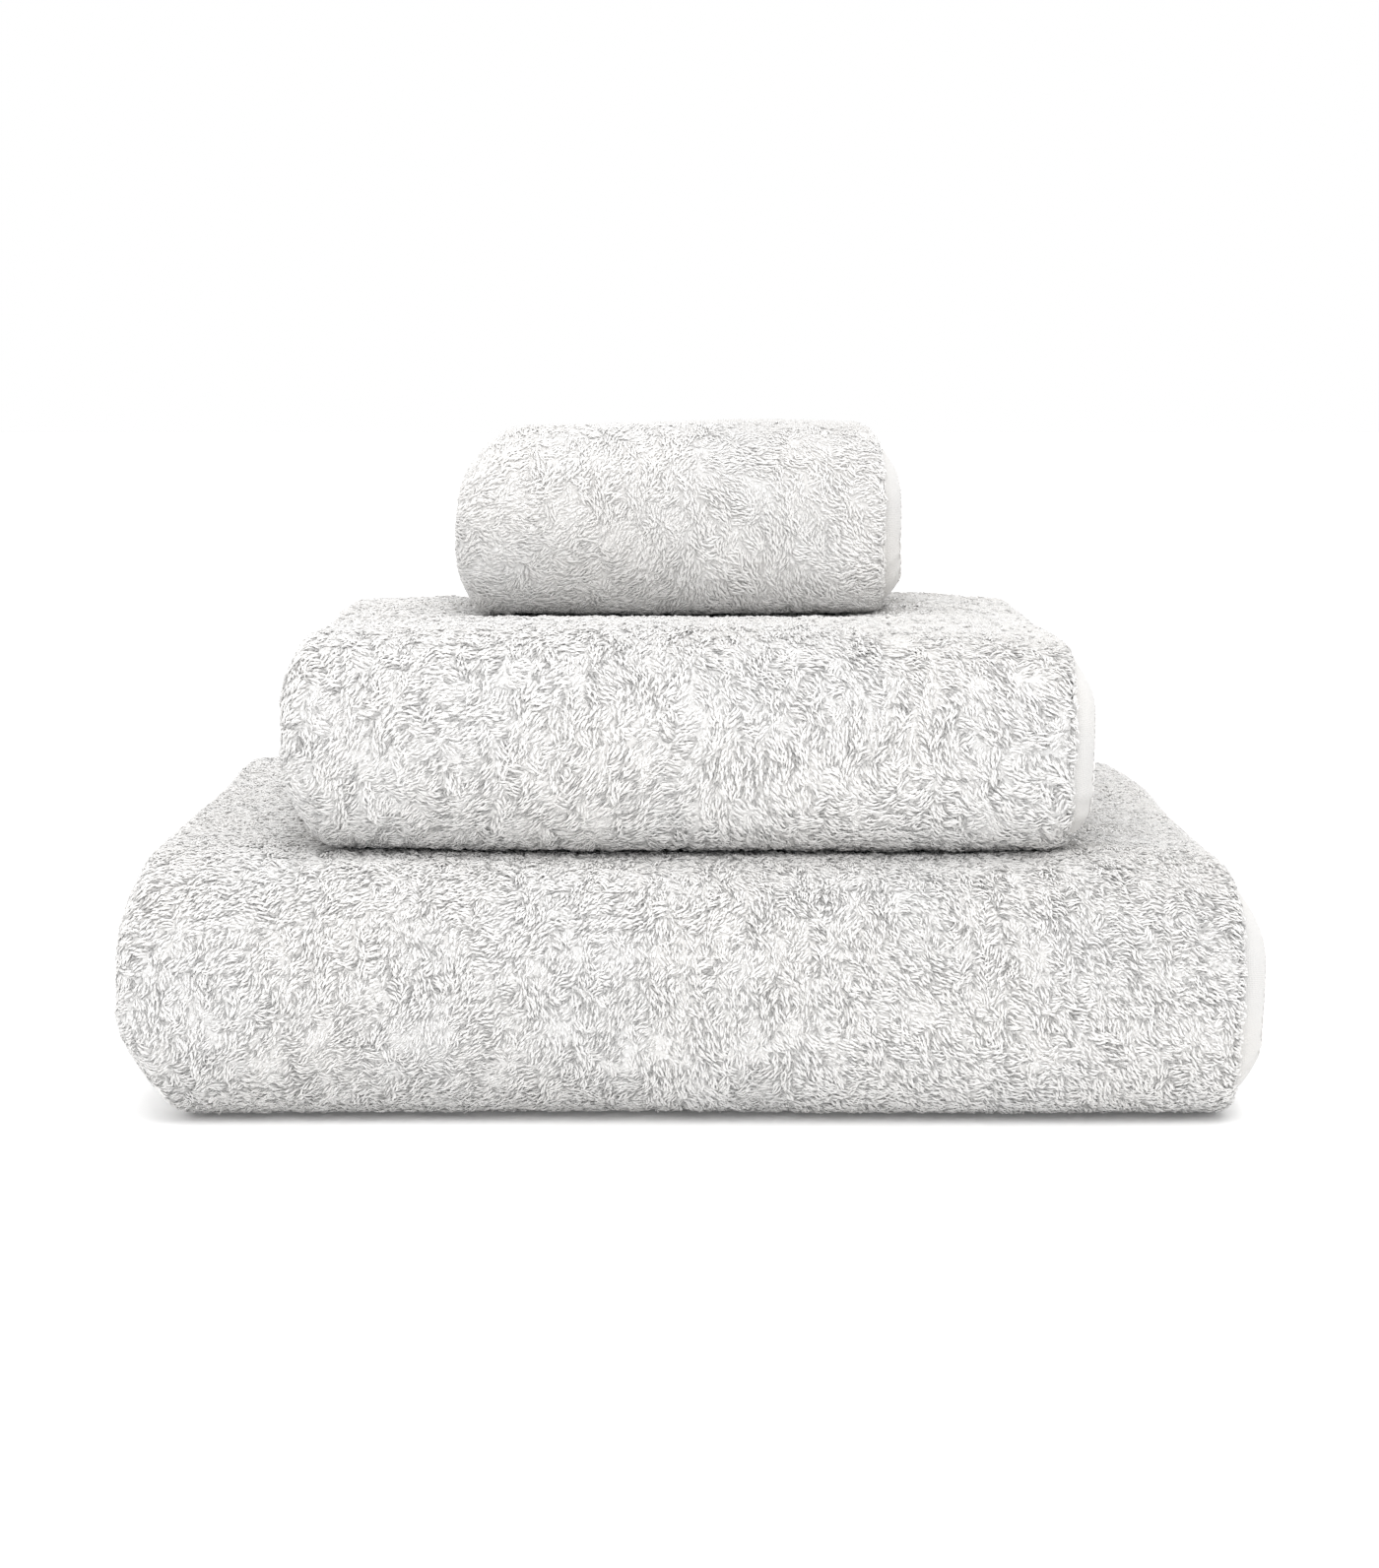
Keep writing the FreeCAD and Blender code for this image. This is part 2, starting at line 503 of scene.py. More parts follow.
        def bend(span: int, mid_radius: float, radius: np.ndarray, *fullness: float) -> Pair:
            """Goes half round.

            Args:
                span: which of the marks the bend starts at.
                mid_radius: to the middle of the strip.
                radius: to each point.
                fullness: of the first and the second quarter, nothing for a half circle.

            Returns:
                How far out from the bend's centre each point is, and how far up.
            """
            angle = np.clip((along - marks[span]) / mid_radius, 0.0, math.pi)
            first, second = fullness or (0.0, 0.0)
            share = np.where(angle < math.pi / 2, first, second)
            fuller = radius * (1 + share * np.sin(2 * angle) ** 2)
            return fuller * np.sin(angle), fuller * np.cos(angle)

        fullness = self.lower_fullness, self.upper_fullness
        wide, tight = WIDE_BEND * pitch, TIGHT_BEND * pitch
        wide_out, wide_up = bend(1, wide, wide + offset, *fullness)
        back_out, back_up = bend(3, tight, tight + offset)
        tight_out, tight_up = bend(5, tight, tight - offset)
        cases = [along < mark for mark in marks[1:-1]]
        y = np.select(
            cases,
            [
                self.back_y - along,
                front - wide_out,
                front + along - marks[2],
                back + back_out,
                back - (along - marks[4]),
                front - tight_out,
            ],
            front + along - marks[6],
        )
        z = np.select(
            cases,
            [
                low - offset,
                middle - wide_up,
                top + offset,
                (top + upper_middle) / 2 + back_up,
                upper_middle - offset,
                middle + tight_up,
            ],
            lower_middle + offset,
        )
        return y, z

    def stretch(self, across: np.ndarray, along: np.ndarray, proud: float) -> Pair:
        """Compares short lines on the folded face with the same lines on the flat cloth.

        Args:
            across: distances across the cloth.
            along: distances along it.
            proud: height of the face above the middle of the cloth.

        Returns:
            How many times longer they are, across and along.
        """
        step = 0.25 * MM
        ahead = self.place(across + step, along, proud)
        behind = self.place(across - step, along, proud)
        across_scale = np.linalg.norm(ahead - behind, axis=-1) / (2 * step)
        ahead = self.place(across, along + step, proud)
        behind = self.place(across, along - step, proud)
        return across_scale, np.linalg.norm(ahead - behind, axis=-1) / (2 * step)

    def along_grid(self, run_step: float, bend_step: float, start: float, end: float) -> np.ndarray:
        """Spaces out distances along the strip, closer together round the bends.

        Args:
            run_step: the distance between two of them on a straight run.
            bend_step: the distance on a bend.
            start: the first.
            end: the last.

        Returns:
            The distances, in order.
        """
        steps = [run_step, bend_step, run_step, bend_step, run_step, bend_step, run_step]
        parts = []
        for step, low, high in zip(steps, self.marks[:-1], self.marks[1:]):
            low, high = max(low, start), min(high, end)
            if high > low:
                count = max(2, round((high - low) / step) + 1)
                parts.append(np.linspace(low, high, count)[:-1])
        parts.append([end])
        return np.concatenate(parts)


# ------------------------------------------------------------------------------ slabs of cloth


@dataclass
class Slab:
    """A closed piece of cloth with two faces and rounded edges, before and after folding."""

    cloth: FoldedCloth
    across: np.ndarray
    along: np.ndarray
    half_thickness: float
    edge_rounding: float

    def build(self, name: str, relief: "Relief", seam: "SeamMap | None" = None) -> bpy.types.Object:
        """Makes the folded slab.

        Args:
            name: the piece's name.
            relief: adds to the height of each face.
            seam: says where the stitches are, for a hem.

        Returns:
            The piece.
        """
        rows, columns = len(self.along), len(self.across)
        across, along = np.meshgrid(self.across, self.along)
        to_side = np.minimum(across - self.across[0], self.across[-1] - across)
        to_end = np.minimum(along - self.along[0], self.along[-1] - along)
        near = np.clip(1 - np.minimum(to_side, to_end) / self.edge_rounding, 0.0, 1.0)
        thickness = self.half_thickness * np.sqrt(np.maximum(1 - near**2, 0.02))
        faces = []
        for face in Face:
            proud = face * (thickness + relief(across, along, face))
            faces.append(self.cloth.place(across, along, proud).reshape(-1, 3))
        points = np.concatenate(faces)
        index = np.arange(rows * columns).reshape(rows, columns)
        top = np.stack([index[:-1, :-1], index[:-1, 1:], index[1:, 1:], index[1:, :-1]], axis=-1)
        top = top.reshape(-1, 4)
        rim = np.concatenate([index[0, :-1], index[:-1, -1], index[-1, :0:-1], index[:0:-1, 0]])
        sides = np.stack([rim, np.roll(rim, -1)], axis=-1)
        other = rows * columns
        sides = np.concatenate([sides, sides[:, ::-1] + other], axis=1)
        quads = np.concatenate([top, top[:, ::-1] + other, sides])
        flat = np.stack([across.ravel(), along.ravel()], axis=-1)
        corners = quads.ravel() % other
        maps = {BAKE_MAP: self._bake_map(quads, flat), "cloth": flat[corners]}
        if seam:
            maps["seam"] = seam(flat[:, 0], flat[:, 1])[corners]
        return MeshMaker.build(name, points, quads, maps)

    def _bake_map(self, quads: np.ndarray, flat: np.ndarray) -> np.ndarray:
        """Lays the two faces side by side in the unit square.

        Args:
            quads: the faces' corners.
            flat: each point's place on the flat cloth.

        Returns:
            A pair of shares for each face corner.
        """
        low, high = flat.min(axis=0), flat.max(axis=0)
        share = (flat - low) / (high - low)
        first = share * [0.49, 1.0]
        second = first + [0.51, 0.0]
        return np.concatenate([first, second])[quads.ravel()]


@dataclass(frozen=True)
class SeamMap:
    """Numbers the places on a hem by how near they are to its stitches."""

    lines: tuple[float, float]
    start: float
    end: float
    count: int
    lengthwise: bool

    def __call__(self, across: np.ndarray, along: np.ndarray) -> np.ndarray:
        """Maps places on the hem.

        Args:
            across: distances across the cloth.
            along: distances along it.

        Returns:
            Pairs of a distance to the nearer row of stitches and a number along the row, which
            is whole where the needle went in.
        """
        crosswise, lengthwise = (across, along) if self.lengthwise else (along, across)
        first, second = self.lines
        distance = (crosswise - first) * (crosswise - second) / (second - first)
        number = (lengthwise - self.start) / (self.end - self.start) * self.count
        return np.stack([distance, number], axis=-1)


class Relief:
    """Small heights that a finish adds to a slab's faces."""

    def __call__(self, across: np.ndarray, along: np.ndarray, face: Face) -> np.ndarray:
        """The height at each point of a face."""
        raise NotImplementedError


@dataclass
class GroundRelief(Relief):
    """The uneven bed of short loops under the long ones."""

    seed: int
    height: float = 0.1 * MM
    wavelength: float = 14 * MM

    def __call__(self, across: np.ndarray, along: np.ndarray, face: Face) -> np.ndarray:
        """The height at each point of a face."""
        return self.height * Drift(self.seed + face, self.wavelength)(across, along)


@dataclass
class HemRelief(Relief):
    """The dents along a hem's two seams and the creases where it goes round the lower bend."""

    seam: SeamMap
    creased: tuple[float, float]  # distance along the cloth where the creases begin and end
    seed: int
    dent: float = 0.35 * MM
    dent_width: float = 1.3 * MM
    crease: float = 0.42 * MM
    crease_spacing: float = 6.5 * MM
    pucker: float = 0.09 * MM
    pucker_size: float = 7 * MM
    wander: float = 1.6 * MM
    wander_size: float = 30 * MM

    def __call__(self, across: np.ndarray, along: np.ndarray, face: Face) -> np.ndarray:
        """The height at each point of a face.

        Args:
            across: distances across the cloth.
            along: distances along it.
            face: which of the two faces.

        Returns:
            The heights.
        """
        height = np.zeros_like(across)
        crosswise = across if self.seam.lengthwise else along
        for line in self.seam.lines:
            height -= self.dent * np.exp(-(((crosswise - line) / self.dent_width) ** 2))
        start, end = self.creased
        middle, half = (start + end) / 2, (end - start) / 2
        mask = smooth(1.3 - np.abs(along - middle) / half)
        wander = self.wander * Drift(self.seed + 1, self.wander_size)(across, along)
        ridges = Drift(self.seed, self.crease_spacing, dimensions=1, waves=5)(along + wander)
        pucker = Drift(self.seed + 2, self.pucker_size)(across * 0.35, along)
        return height + self.crease * mask * np.tanh(ridges) + self.pucker * pucker


# ------------------------------------------------------------------------------ the pile


@dataclass(frozen=True)
class Yarn:
    """The shape of a short length of yarn: where its rings lie and how thick it is at each."""

    sides: int
    stations: tuple[float, ...]  # shares of the length
    girths: tuple[float, ...]  # thickness at each station, next to the thickest

    def points(self, centres: np.ndarray, up: np.ndarray, radius: np.ndarray) -> np.ndarray:
        """Points round the middle line of each length of yarn.

        Args:
            centres: the middle line's points, one row of them for each length.
            up: a direction away from the cloth for each length.
            radius: the greatest radius of each length.

        Returns:
            The points, ring by ring and length by length.
        """
        forward = unit(np.gradient(centres, axis=1))
        side = unit(np.cross(forward, up[:, None, :]))
        over = np.cross(side, forward)
        turns = 2 * math.pi * np.arange(self.sides) / self.sides + math.pi / 4
        girth = radius[:, None] * np.array(self.girths)[None, :]
        ring = (
            np.cos(turns)[None, None, :, None] * side[:, :, None, :]
            + np.sin(turns)[None, None, :, None] * over[:, :, None, :]
        )
        return (centres[:, :, None, :] + girth[:, :, None, None] * ring).reshape(-1, 3)

    def faces(self, count: int) -> Pair:
        """Joins the rings into open tubes.

        Args:
            count: how many lengths of yarn there are.

        Returns:
            The faces, and each face corner's share round and along its length.
        """
        rings = len(self.stations)
        ring, side = np.meshgrid(np.arange(rings - 1), np.arange(self.sides), indexing="ij")
        ring, side = ring.ravel(), side.ravel()
        following = (side + 1) % self.sides
        one = np.stack(
            [
                ring * self.sides + side,
                ring * self.sides + following,
                (ring + 1) * self.sides + following,
                (ring + 1) * self.sides + side,
            ],
            axis=-1,
        )
        offsets = np.arange(count)[:, None, None] * rings * self.sides
        quads = (one[None] + offsets).reshape(-1, 4)
        round_share = np.stack([side, side + 1, side + 1, side], axis=-1) / self.sides
        stations = np.array(self.stations)
        along_share = stations[np.stack([ring, ring, ring + 1, ring + 1], axis=-1)]
        shares = np.stack([round_share, along_share], axis=-1).reshape(-1, 2)
        return quads, np.tile(shares, (count, 1))

    @staticmethod
    def bake_map(count: int, shares: np.ndarray) -> np.ndarray:
        """Gives every length of yarn a small square of its own in the unit square.

        Args:
            count: how many lengths there are.
            shares: each face corner's share round and along its length.

        Returns:
            Where each face corner lies.
        """
        across = math.ceil(math.sqrt(count))
        length = np.repeat(np.arange(count), len(shares) // count)
        corner = np.stack([length % across, length // across], axis=-1)
        return (corner + 0.08 + 0.84 * shares) / across


@dataclass
class Patch:
    """A part of the cloth's outside that carries loops."""

    name: str
    across: tuple[float, float]
    along: tuple[float, float]
    coarse: float = 1.0  # loop size and spacing, next to the towel's own


@dataclass(frozen=True)
class LoopSizes:
    """How one towel's pile is made, from the single loop to the tufts."""

    length: float
    radius: float
    spacing: float
    depth: float  # from the pile's top down to the bed of the loops
    tuft: float  # the usual distance from one tuft to the next
    unevenness: float
    painted_shade: float  # how much painted shade darkens the rims of the tufts, 0 to 1


@dataclass
class Pile:
    """Long soft loops of twisted yarn that lie over in tufts, each tuft its own way."""

    cloth: FoldedCloth
    seed: int
    sizes: LoopSizes
    sides: int = 3
    lean_of_tuft: float = 0.36
    lean_of_loop: float = 0.2
    splay: float = -0.3
    bend_of_loop: float = 0.9
    overhang: float = 1.6 * MM  # how far in from a hem the tips start to bunch up
    root_scatter: float = 0.42  # of the distance between roots
    tuft_scatter: float = 0.42  # of the distance between tufts
    rim_width: float = 0.3  # of the distance between tufts
    swirl_size: float = 42 * MM
    swirl_share: float = 0.28
    ruffle_size: float = 9 * MM
    ruffle_turn: float = 0.42
    bulk_size: float = 13 * MM
    edge_reach: float = 13 * MM  # how near to a hem the pile is combed over it
    edge_pull: float = 3.5
    fan_reach: float = 26 * MM  # how near to the front's foot the pile is combed sideways
    stations: tuple[float, ...] = (0.0, 0.7, 1.0)
    rises: tuple[float, ...] = (0.0, 1.0, 0.86)
    girths: tuple[float, ...] = (0.8, 1.05, 0.3)

    def __post_init__(self) -> None:
        """Draws the swirls that the pile is combed into."""
        self.yarn = Yarn(self.sides, self.stations, self.girths)
        self.swirl_across = Drift(self.seed, self.swirl_size, waves=14)
        self.swirl_along = Drift(self.seed + 1, self.swirl_size, waves=14)
        self.ruffle = Drift(self.seed + 2, self.ruffle_size, waves=14)
        self.bulk = Drift(self.seed + 3, self.bulk_size, waves=14)
        self.curl = Drift(self.seed + 4, self.ruffle_size)

    def roots(self, patch: Patch, rng: np.random.Generator) -> Pair:
        """Spreads the loops' roots over a patch, evenly but not in line.

        Args:
            patch: the part of the cloth.
            rng: draws how far each root is off its place.

        Returns:
            The roots' distances across and along the cloth.
        """
        (low_a, high_a), (low_s, high_s) = patch.across, patch.along
        middle_a, middle_s = (low_a + high_a) / 2, (low_s + high_s) / 2
        face = self.cloth.leaf / 2
        scale_a, scale_s = self.cloth.stretch(np.array([middle_a]), np.array([middle_s]), face)
        spacing = self.sizes.spacing * patch.coarse
        columns = max(2, round((high_a - low_a) * scale_a[0] / spacing))
        rows = max(2, round((high_s - low_s) * scale_s[0] / spacing))
        column, row = np.meshgrid(np.arange(columns), np.arange(rows))
        shift = 0.5 * (row % 2)
        column = column + shift + rng.uniform(-self.root_scatter, self.root_scatter, column.shape)
        row = row + 0.5 + rng.uniform(-self.root_scatter, self.root_scatter, row.shape)
        across = low_a + np.clip(column / columns, 0.0, 1.0) * (high_a - low_a)
        along = low_s + row / rows * (high_s - low_s)
        return across.ravel(), along.ravel()

    def combing(self, across: np.ndarray, along: np.ndarray) -> np.ndarray:
        """The way the pile is combed: down and outward, and over the hems.

        Args:
            across: distances across the cloth.
            along: distances along it.

        Returns:
            The angle at each place, from across towards along.
        """
        cloth = self.cloth
        outward = (cloth.fold_start / 2 - across) / (cloth.fold_start / 2)
        lowest = cloth.marks[1] + 0.2 * (cloth.marks[2] - cloth.marks[1])
        low_front = smooth(1 - np.abs(along - lowest) / self.fan_reach)
        sideways = -0.75 * np.tanh(2.0 * outward) * (1 + 0.8 * low_front)
        downward = -0.75 * (1 - 0.75 * low_front)
        sideways = sideways + self.swirl_share * self.swirl_across(across, along)
        downward = downward + self.swirl_share * self.swirl_along(across, along)
        near_edge = np.exp(-np.minimum(across, cloth.width - across) / self.edge_reach)
        edge_side = np.where(across < cloth.width / 2, -1.0, 1.0)
        sideways = sideways + self.edge_pull * near_edge * edge_side
        near_end = np.exp(-np.minimum(along, cloth.length - along) / self.edge_reach)
        end_side = np.where(along < cloth.length / 2, -1.0, 1.0)
        downward = downward + self.edge_pull * near_end * end_side
        return np.arctan2(downward, sideways) + self.ruffle_turn * self.ruffle(across, along)

    def tufted(self, across: np.ndarray, along: np.ndarray) -> tuple[np.ndarray, ...]:
        """Gathers the loops into tufts.

        Args:
            across: the roots' distances across the cloth.
            along: the roots' distances along it.

        Returns:
            How far across and along each root is from its tuft's middle, two random numbers
            from -1 to 1 that the loops of a tuft share, and how near to the tuft's rim it is.
        """
        home_a = np.floor(across / self.sizes.tuft)
        home_s = np.floor(along / self.sizes.tuft)

        def shared(cell_a: np.ndarray, cell_s: np.ndarray, salt: float) -> np.ndarray:
            """A random number from -1 to 1 for each tuft.

            Args:
                cell_a: the tuft's column.
                cell_s: the tuft's row.
                salt: tells one draw from another.

            Returns:
                The numbers, the same for every root of a tuft.
            """
            mixed = np.sin(cell_a * 127.1 + cell_s * 311.7 + salt) * 43758.5453
            return 2 * (mixed - np.floor(mixed)) - 1

        nearest = np.full(across.shape, np.inf)
        second = np.full(across.shape, np.inf)
        tuft_a, tuft_s = home_a.copy(), home_s.copy()
        from_a, from_s = np.zeros_like(across), np.zeros_like(across)
        for step_a in (-1, 0, 1):
            for step_s in (-1, 0, 1):
                cell_a, cell_s = home_a + step_a, home_s + step_s
                middle_a = cell_a + 0.5 + self.tuft_scatter * shared(cell_a, cell_s, 1.3)
                middle_s = cell_s + 0.5 + self.tuft_scatter * shared(cell_a, cell_s, 2.9)
                beside_a = across - middle_a * self.sizes.tuft
                beside_s = along - middle_s * self.sizes.tuft
                distance = np.hypot(beside_a, beside_s)
                closer = distance < nearest
                second = np.where(closer, nearest, np.minimum(second, distance))
                nearest = np.where(closer, distance, nearest)
                tuft_a = np.where(closer, cell_a, tuft_a)
                tuft_s = np.where(closer, cell_s, tuft_s)
                from_a = np.where(closer, beside_a, from_a)
                from_s = np.where(closer, beside_s, from_s)
        rim = 1 - smooth((second - nearest) / (self.rim_width * self.sizes.tuft))
        return from_a, from_s, shared(tuft_a, tuft_s, 4.1), shared(tuft_a, tuft_s, 7.7), rim

    def keep_in(self, place: np.ndarray, low: np.ndarray, high: np.ndarray) -> np.ndarray:
        """Bunches places up against two limits instead of letting them pass.

        Args:
            place: distances across or along the cloth.
            low: the least that each may be.
            high: the most.

        Returns:
            The places, all between their limits.
        """
        soft = self.overhang
        under = np.minimum(place - low - soft, 0.0)
        over = np.minimum(high - soft - place, 0.0)
        place = np.where(under < 0, low + soft * np.exp(under / soft), place)
        return np.where(over < 0, high - soft * np.exp(over / soft), place)

    def loops(self, patch: Patch) -> bpy.types.Object:
        """Makes every loop of a patch as one piece.

        Args:
            patch: the part of the cloth.

        Returns:
            The piece.
        """
        cloth = self.cloth
        rng = np.random.default_rng([self.seed, sum(map(ord, patch.name))])
        across, along = self.roots(patch, rng)
        count = len(across)
        from_a, from_s, tuft_lean, tuft_lift, rim = self.tufted(across, along)
        middle_a, middle_s = across - from_a, along - from_s
        angle = self.combing(middle_a, middle_s) + self.lean_of_tuft * tuft_lean
        beside = (from_s * np.cos(angle) - from_a * np.sin(angle)) / self.sizes.tuft
        angle = angle + self.splay * beside + self.lean_of_loop * rng.normal(size=count)
        curl = 0.7 * self.curl(middle_a, middle_s) + 0.25 * rng.normal(size=count)
        length = self.sizes.length * patch.coarse * rng.uniform(0.7, 1.2, count)
        radius = self.sizes.radius * patch.coarse * rng.uniform(0.86, 1.14, count)
        top = cloth.leaf / 2 - radius
        top = top + self.sizes.unevenness * (0.25 * self.bulk(across, along) + 0.7 * tuft_lift)
        top = top + self.sizes.unevenness * (0.5 * rng.normal(size=count) - 1.1 * rim)
        bed = cloth.leaf / 2 - self.sizes.depth
        scale_a, scale_s = cloth.stretch(across, along, cloth.leaf / 2)
        over_hem = rng.uniform(0.2 * MM, 2.0 * MM, count)
        side_edge, end_edge = cloth.side_hem - over_hem, cloth.end_hem - over_hem
        centres = []
        for station, rise in zip(self.stations, self.rises):
            heading = angle + self.bend_of_loop * curl * (station - 1) / 2
            step_a = length * (station - 0.4) * np.cos(heading) / scale_a
            step_s = length * (station - 0.4) * np.sin(heading) / scale_s
            at_a = self.keep_in(across + step_a, side_edge, cloth.width - side_edge)
            at_s = self.keep_in(along + step_s, end_edge, cloth.length - end_edge)
            centres.append(cloth.place(at_a, at_s, bed + (top - bed) * rise))
        centres = np.stack(centres, axis=1)
        above = cloth.place(across, along, np.full(count, cloth.leaf))
        below = cloth.place(across, along, np.zeros(count))
        points = self.yarn.points(centres, unit(above - below), radius)
        quads, shares = self.yarn.faces(count)
        # Painted shade: the rise, lowered at the tufts' rims, darkens the loops' colour towards
        # their roots and at the rims.
        rise = np.tile(np.repeat(self.rises, self.sides), count)
        rise = rise * np.repeat(1 - self.sizes.painted_shade * rim, len(self.stations) * self.sides)
        tone = np.repeat(rng.uniform(0.0, 1.0, count), len(self.stations) * self.sides)
        maps = {BAKE_MAP: Yarn.bake_map(count, shares), "yarn": shares}
        values = {"rise": rise, "tone": tone}
        return MeshMaker.build(f"{cloth.name}_loops_{patch.name}", points, quads, maps, values)


# ------------------------------------------------------------------------------ the seams


@dataclass(frozen=True)
class SeamRow:
    """One straight row of stitches on the flat cloth."""

    line: float  # where the row lies, across the cloth, or along it for a row that goes across
    start: float
    end: float
    height: float  # of the hem's face above the cloth's middle
    lengthwise: bool = True


@dataclass
class Stitches:
    """Rows of lock stitches: short raised lengths of thread that dip into the hem."""

    cloth: FoldedCloth
    pitch: float = STITCH_PITCH
    gap: float = 0.8 * MM
    radius: float = 0.3 * MM
    stations: tuple[float, ...] = (0.0, 0.15, 0.5, 0.85, 1.0)
    girths: tuple[float, ...] = (0.5, 0.95, 1.0, 0.95, 0.5)
    sides: int = 5

    def count(self, start: float, end: float) -> int:
        """How many stitches a row has."""
        return max(1, round((end - start) / self.pitch))

    def build(self, name: str, rows: list[SeamRow]) -> bpy.types.Object:
        """Makes every stitch of several rows as one piece.

        Args:
            name: the piece's name.
            rows: where the rows lie.

        Returns:
            The piece.
        """
        yarn = Yarn(self.sides, self.stations, self.girths)
        points, total = [], 0
        for row in rows:
            count = self.count(row.start, row.end)
            points.append(self._row(row, yarn, count))
            total += count
        quads, shares = yarn.faces(total)
        maps = {BAKE_MAP: Yarn.bake_map(total, shares), "yarn": shares}
        return MeshMaker.build(name, np.concatenate(points), quads, maps)

    def _row(self, row: SeamRow, yarn: Yarn, count: int) -> np.ndarray:
        """Bends each stitch of a row over the hem and into it at its ends.

        Args:
            row: where the row lies.
            yarn: the stitches' shape.
            count: how many there are.

        Returns:
            The stitches' points.
        """
        step = (row.end - row.start) / count
        middles = row.start + (np.arange(count) + 0.5) * step
        share = 2 * np.array(self.stations) - 1
        at = middles[:, None] + (self.pitch - self.gap) / 2 * share[None, :]
        proud = row.height + self.radius * (0.75 - 1.9 * np.abs(share) ** 3)[None, :]
        proud = np.broadcast_to(proud, at.shape)
        line = np.full_like(at, row.line)
        flat = (line, at) if row.lengthwise else (at, line)
        centres = self.cloth.place(flat[0], flat[1], proud)
        above = self.cloth.place(flat[0], flat[1], proud + MM)
        up = unit(unit(above - centres).mean(axis=1))
        return yarn.points(centres, up, np.full(count, self.radius))


# ------------------------------------------------------------------------------ finishes


class Nodes:
    """Short ways to put nodes into a material or a group."""

    def __init__(self, tree: bpy.types.NodeTree) -> None:
        """Keeps the tree that the nodes go into."""
        self.tree = tree

    def add(
        self, kind: str, inputs: dict[str | int, object] | None = None, **settings: object
    ) -> bpy.types.Node:
        """Adds a node.

        Args:
            kind: the node's type.
            inputs: a value, or a socket to link from, by the name or number of the input.
            settings: the node's own options.

        Returns:
            The new node.
        """
        node = self.tree.nodes.new(kind)
        for name, value in settings.items():
            setattr(node, name, value)
        for key, value in (inputs or {}).items():
            socket = node.inputs[key]
            if isinstance(value, Socket):
                self.tree.links.new(value, socket)
            else:
                socket.default_value = value
        return node

    def maths(self, operation: str, first: Value, second: Value = 0.0) -> Socket:
        """The result of a sum on one or two numbers."""
        return self.add("ShaderNodeMath", {0: first, 1: second}, operation=operation).outputs[0]

    def mix(self, share: Value, first: Socket, second: Socket, blend: str = "MIX") -> Socket:
        """One colour mixed with another."""
        inputs = {0: share, 6: first, 7: second}
        return self.add("ShaderNodeMix", inputs, data_type="RGBA", blend_type=blend).outputs[2]

    def ramp(self, value: Value, low: Value, high: Value) -> Socket:
        """A value eased from 0 at low to 1 at high."""
        inputs = {"Value": value, "From Min": low, "From Max": high}
        return self.add("ShaderNodeMapRange", inputs, interpolation_type="SMOOTHSTEP").outputs[0]

    def noise(self, place: Socket, scale: float, detail: float) -> Socket:
        """Smooth noise from 0 to 1."""
        inputs = {"Vector": place, "Scale": scale, "Detail": detail}
        return self.add("ShaderNodeTexNoise", inputs).outputs[0]

    def group(self, tree: bpy.types.NodeTree, **inputs: Value) -> bpy.types.Node:
        """Adds a shared effect, with its inputs given in small letters and with underscores."""
        named = {key.replace("_", " ").title(): value for key, value in inputs.items()}
        return self.add("ShaderNodeGroup", named, node_tree=tree)


def new_group(
    name: str, inputs: dict[str, tuple[str, object]], outputs: dict[str, str]
) -> tuple[bpy.types.NodeTree, bpy.types.Node, bpy.types.Node, Nodes]:
    """Makes an empty shader node group.

    Args:
        name: the group's name.
        inputs: socket type and default value, by the input's name.
        outputs: socket type, by the output's name.

    Returns:
        The group, its input node, its output node and a Nodes helper for it.
    """
    group = bpy.data.node_groups.new(name, "ShaderNodeTree")
    for socket_name, (kind, default) in inputs.items():
        socket = group.interface.new_socket(socket_name, in_out="INPUT", socket_type=kind)
        if default is not None:
            socket.default_value = default
    for socket_name, kind in outputs.items():
        group.interface.new_socket(socket_name, in_out="OUTPUT", socket_type=kind)
    start = group.nodes.new("NodeGroupInput")
    end = group.nodes.new("NodeGroupOutput")
    return group, start, end, Nodes(group)


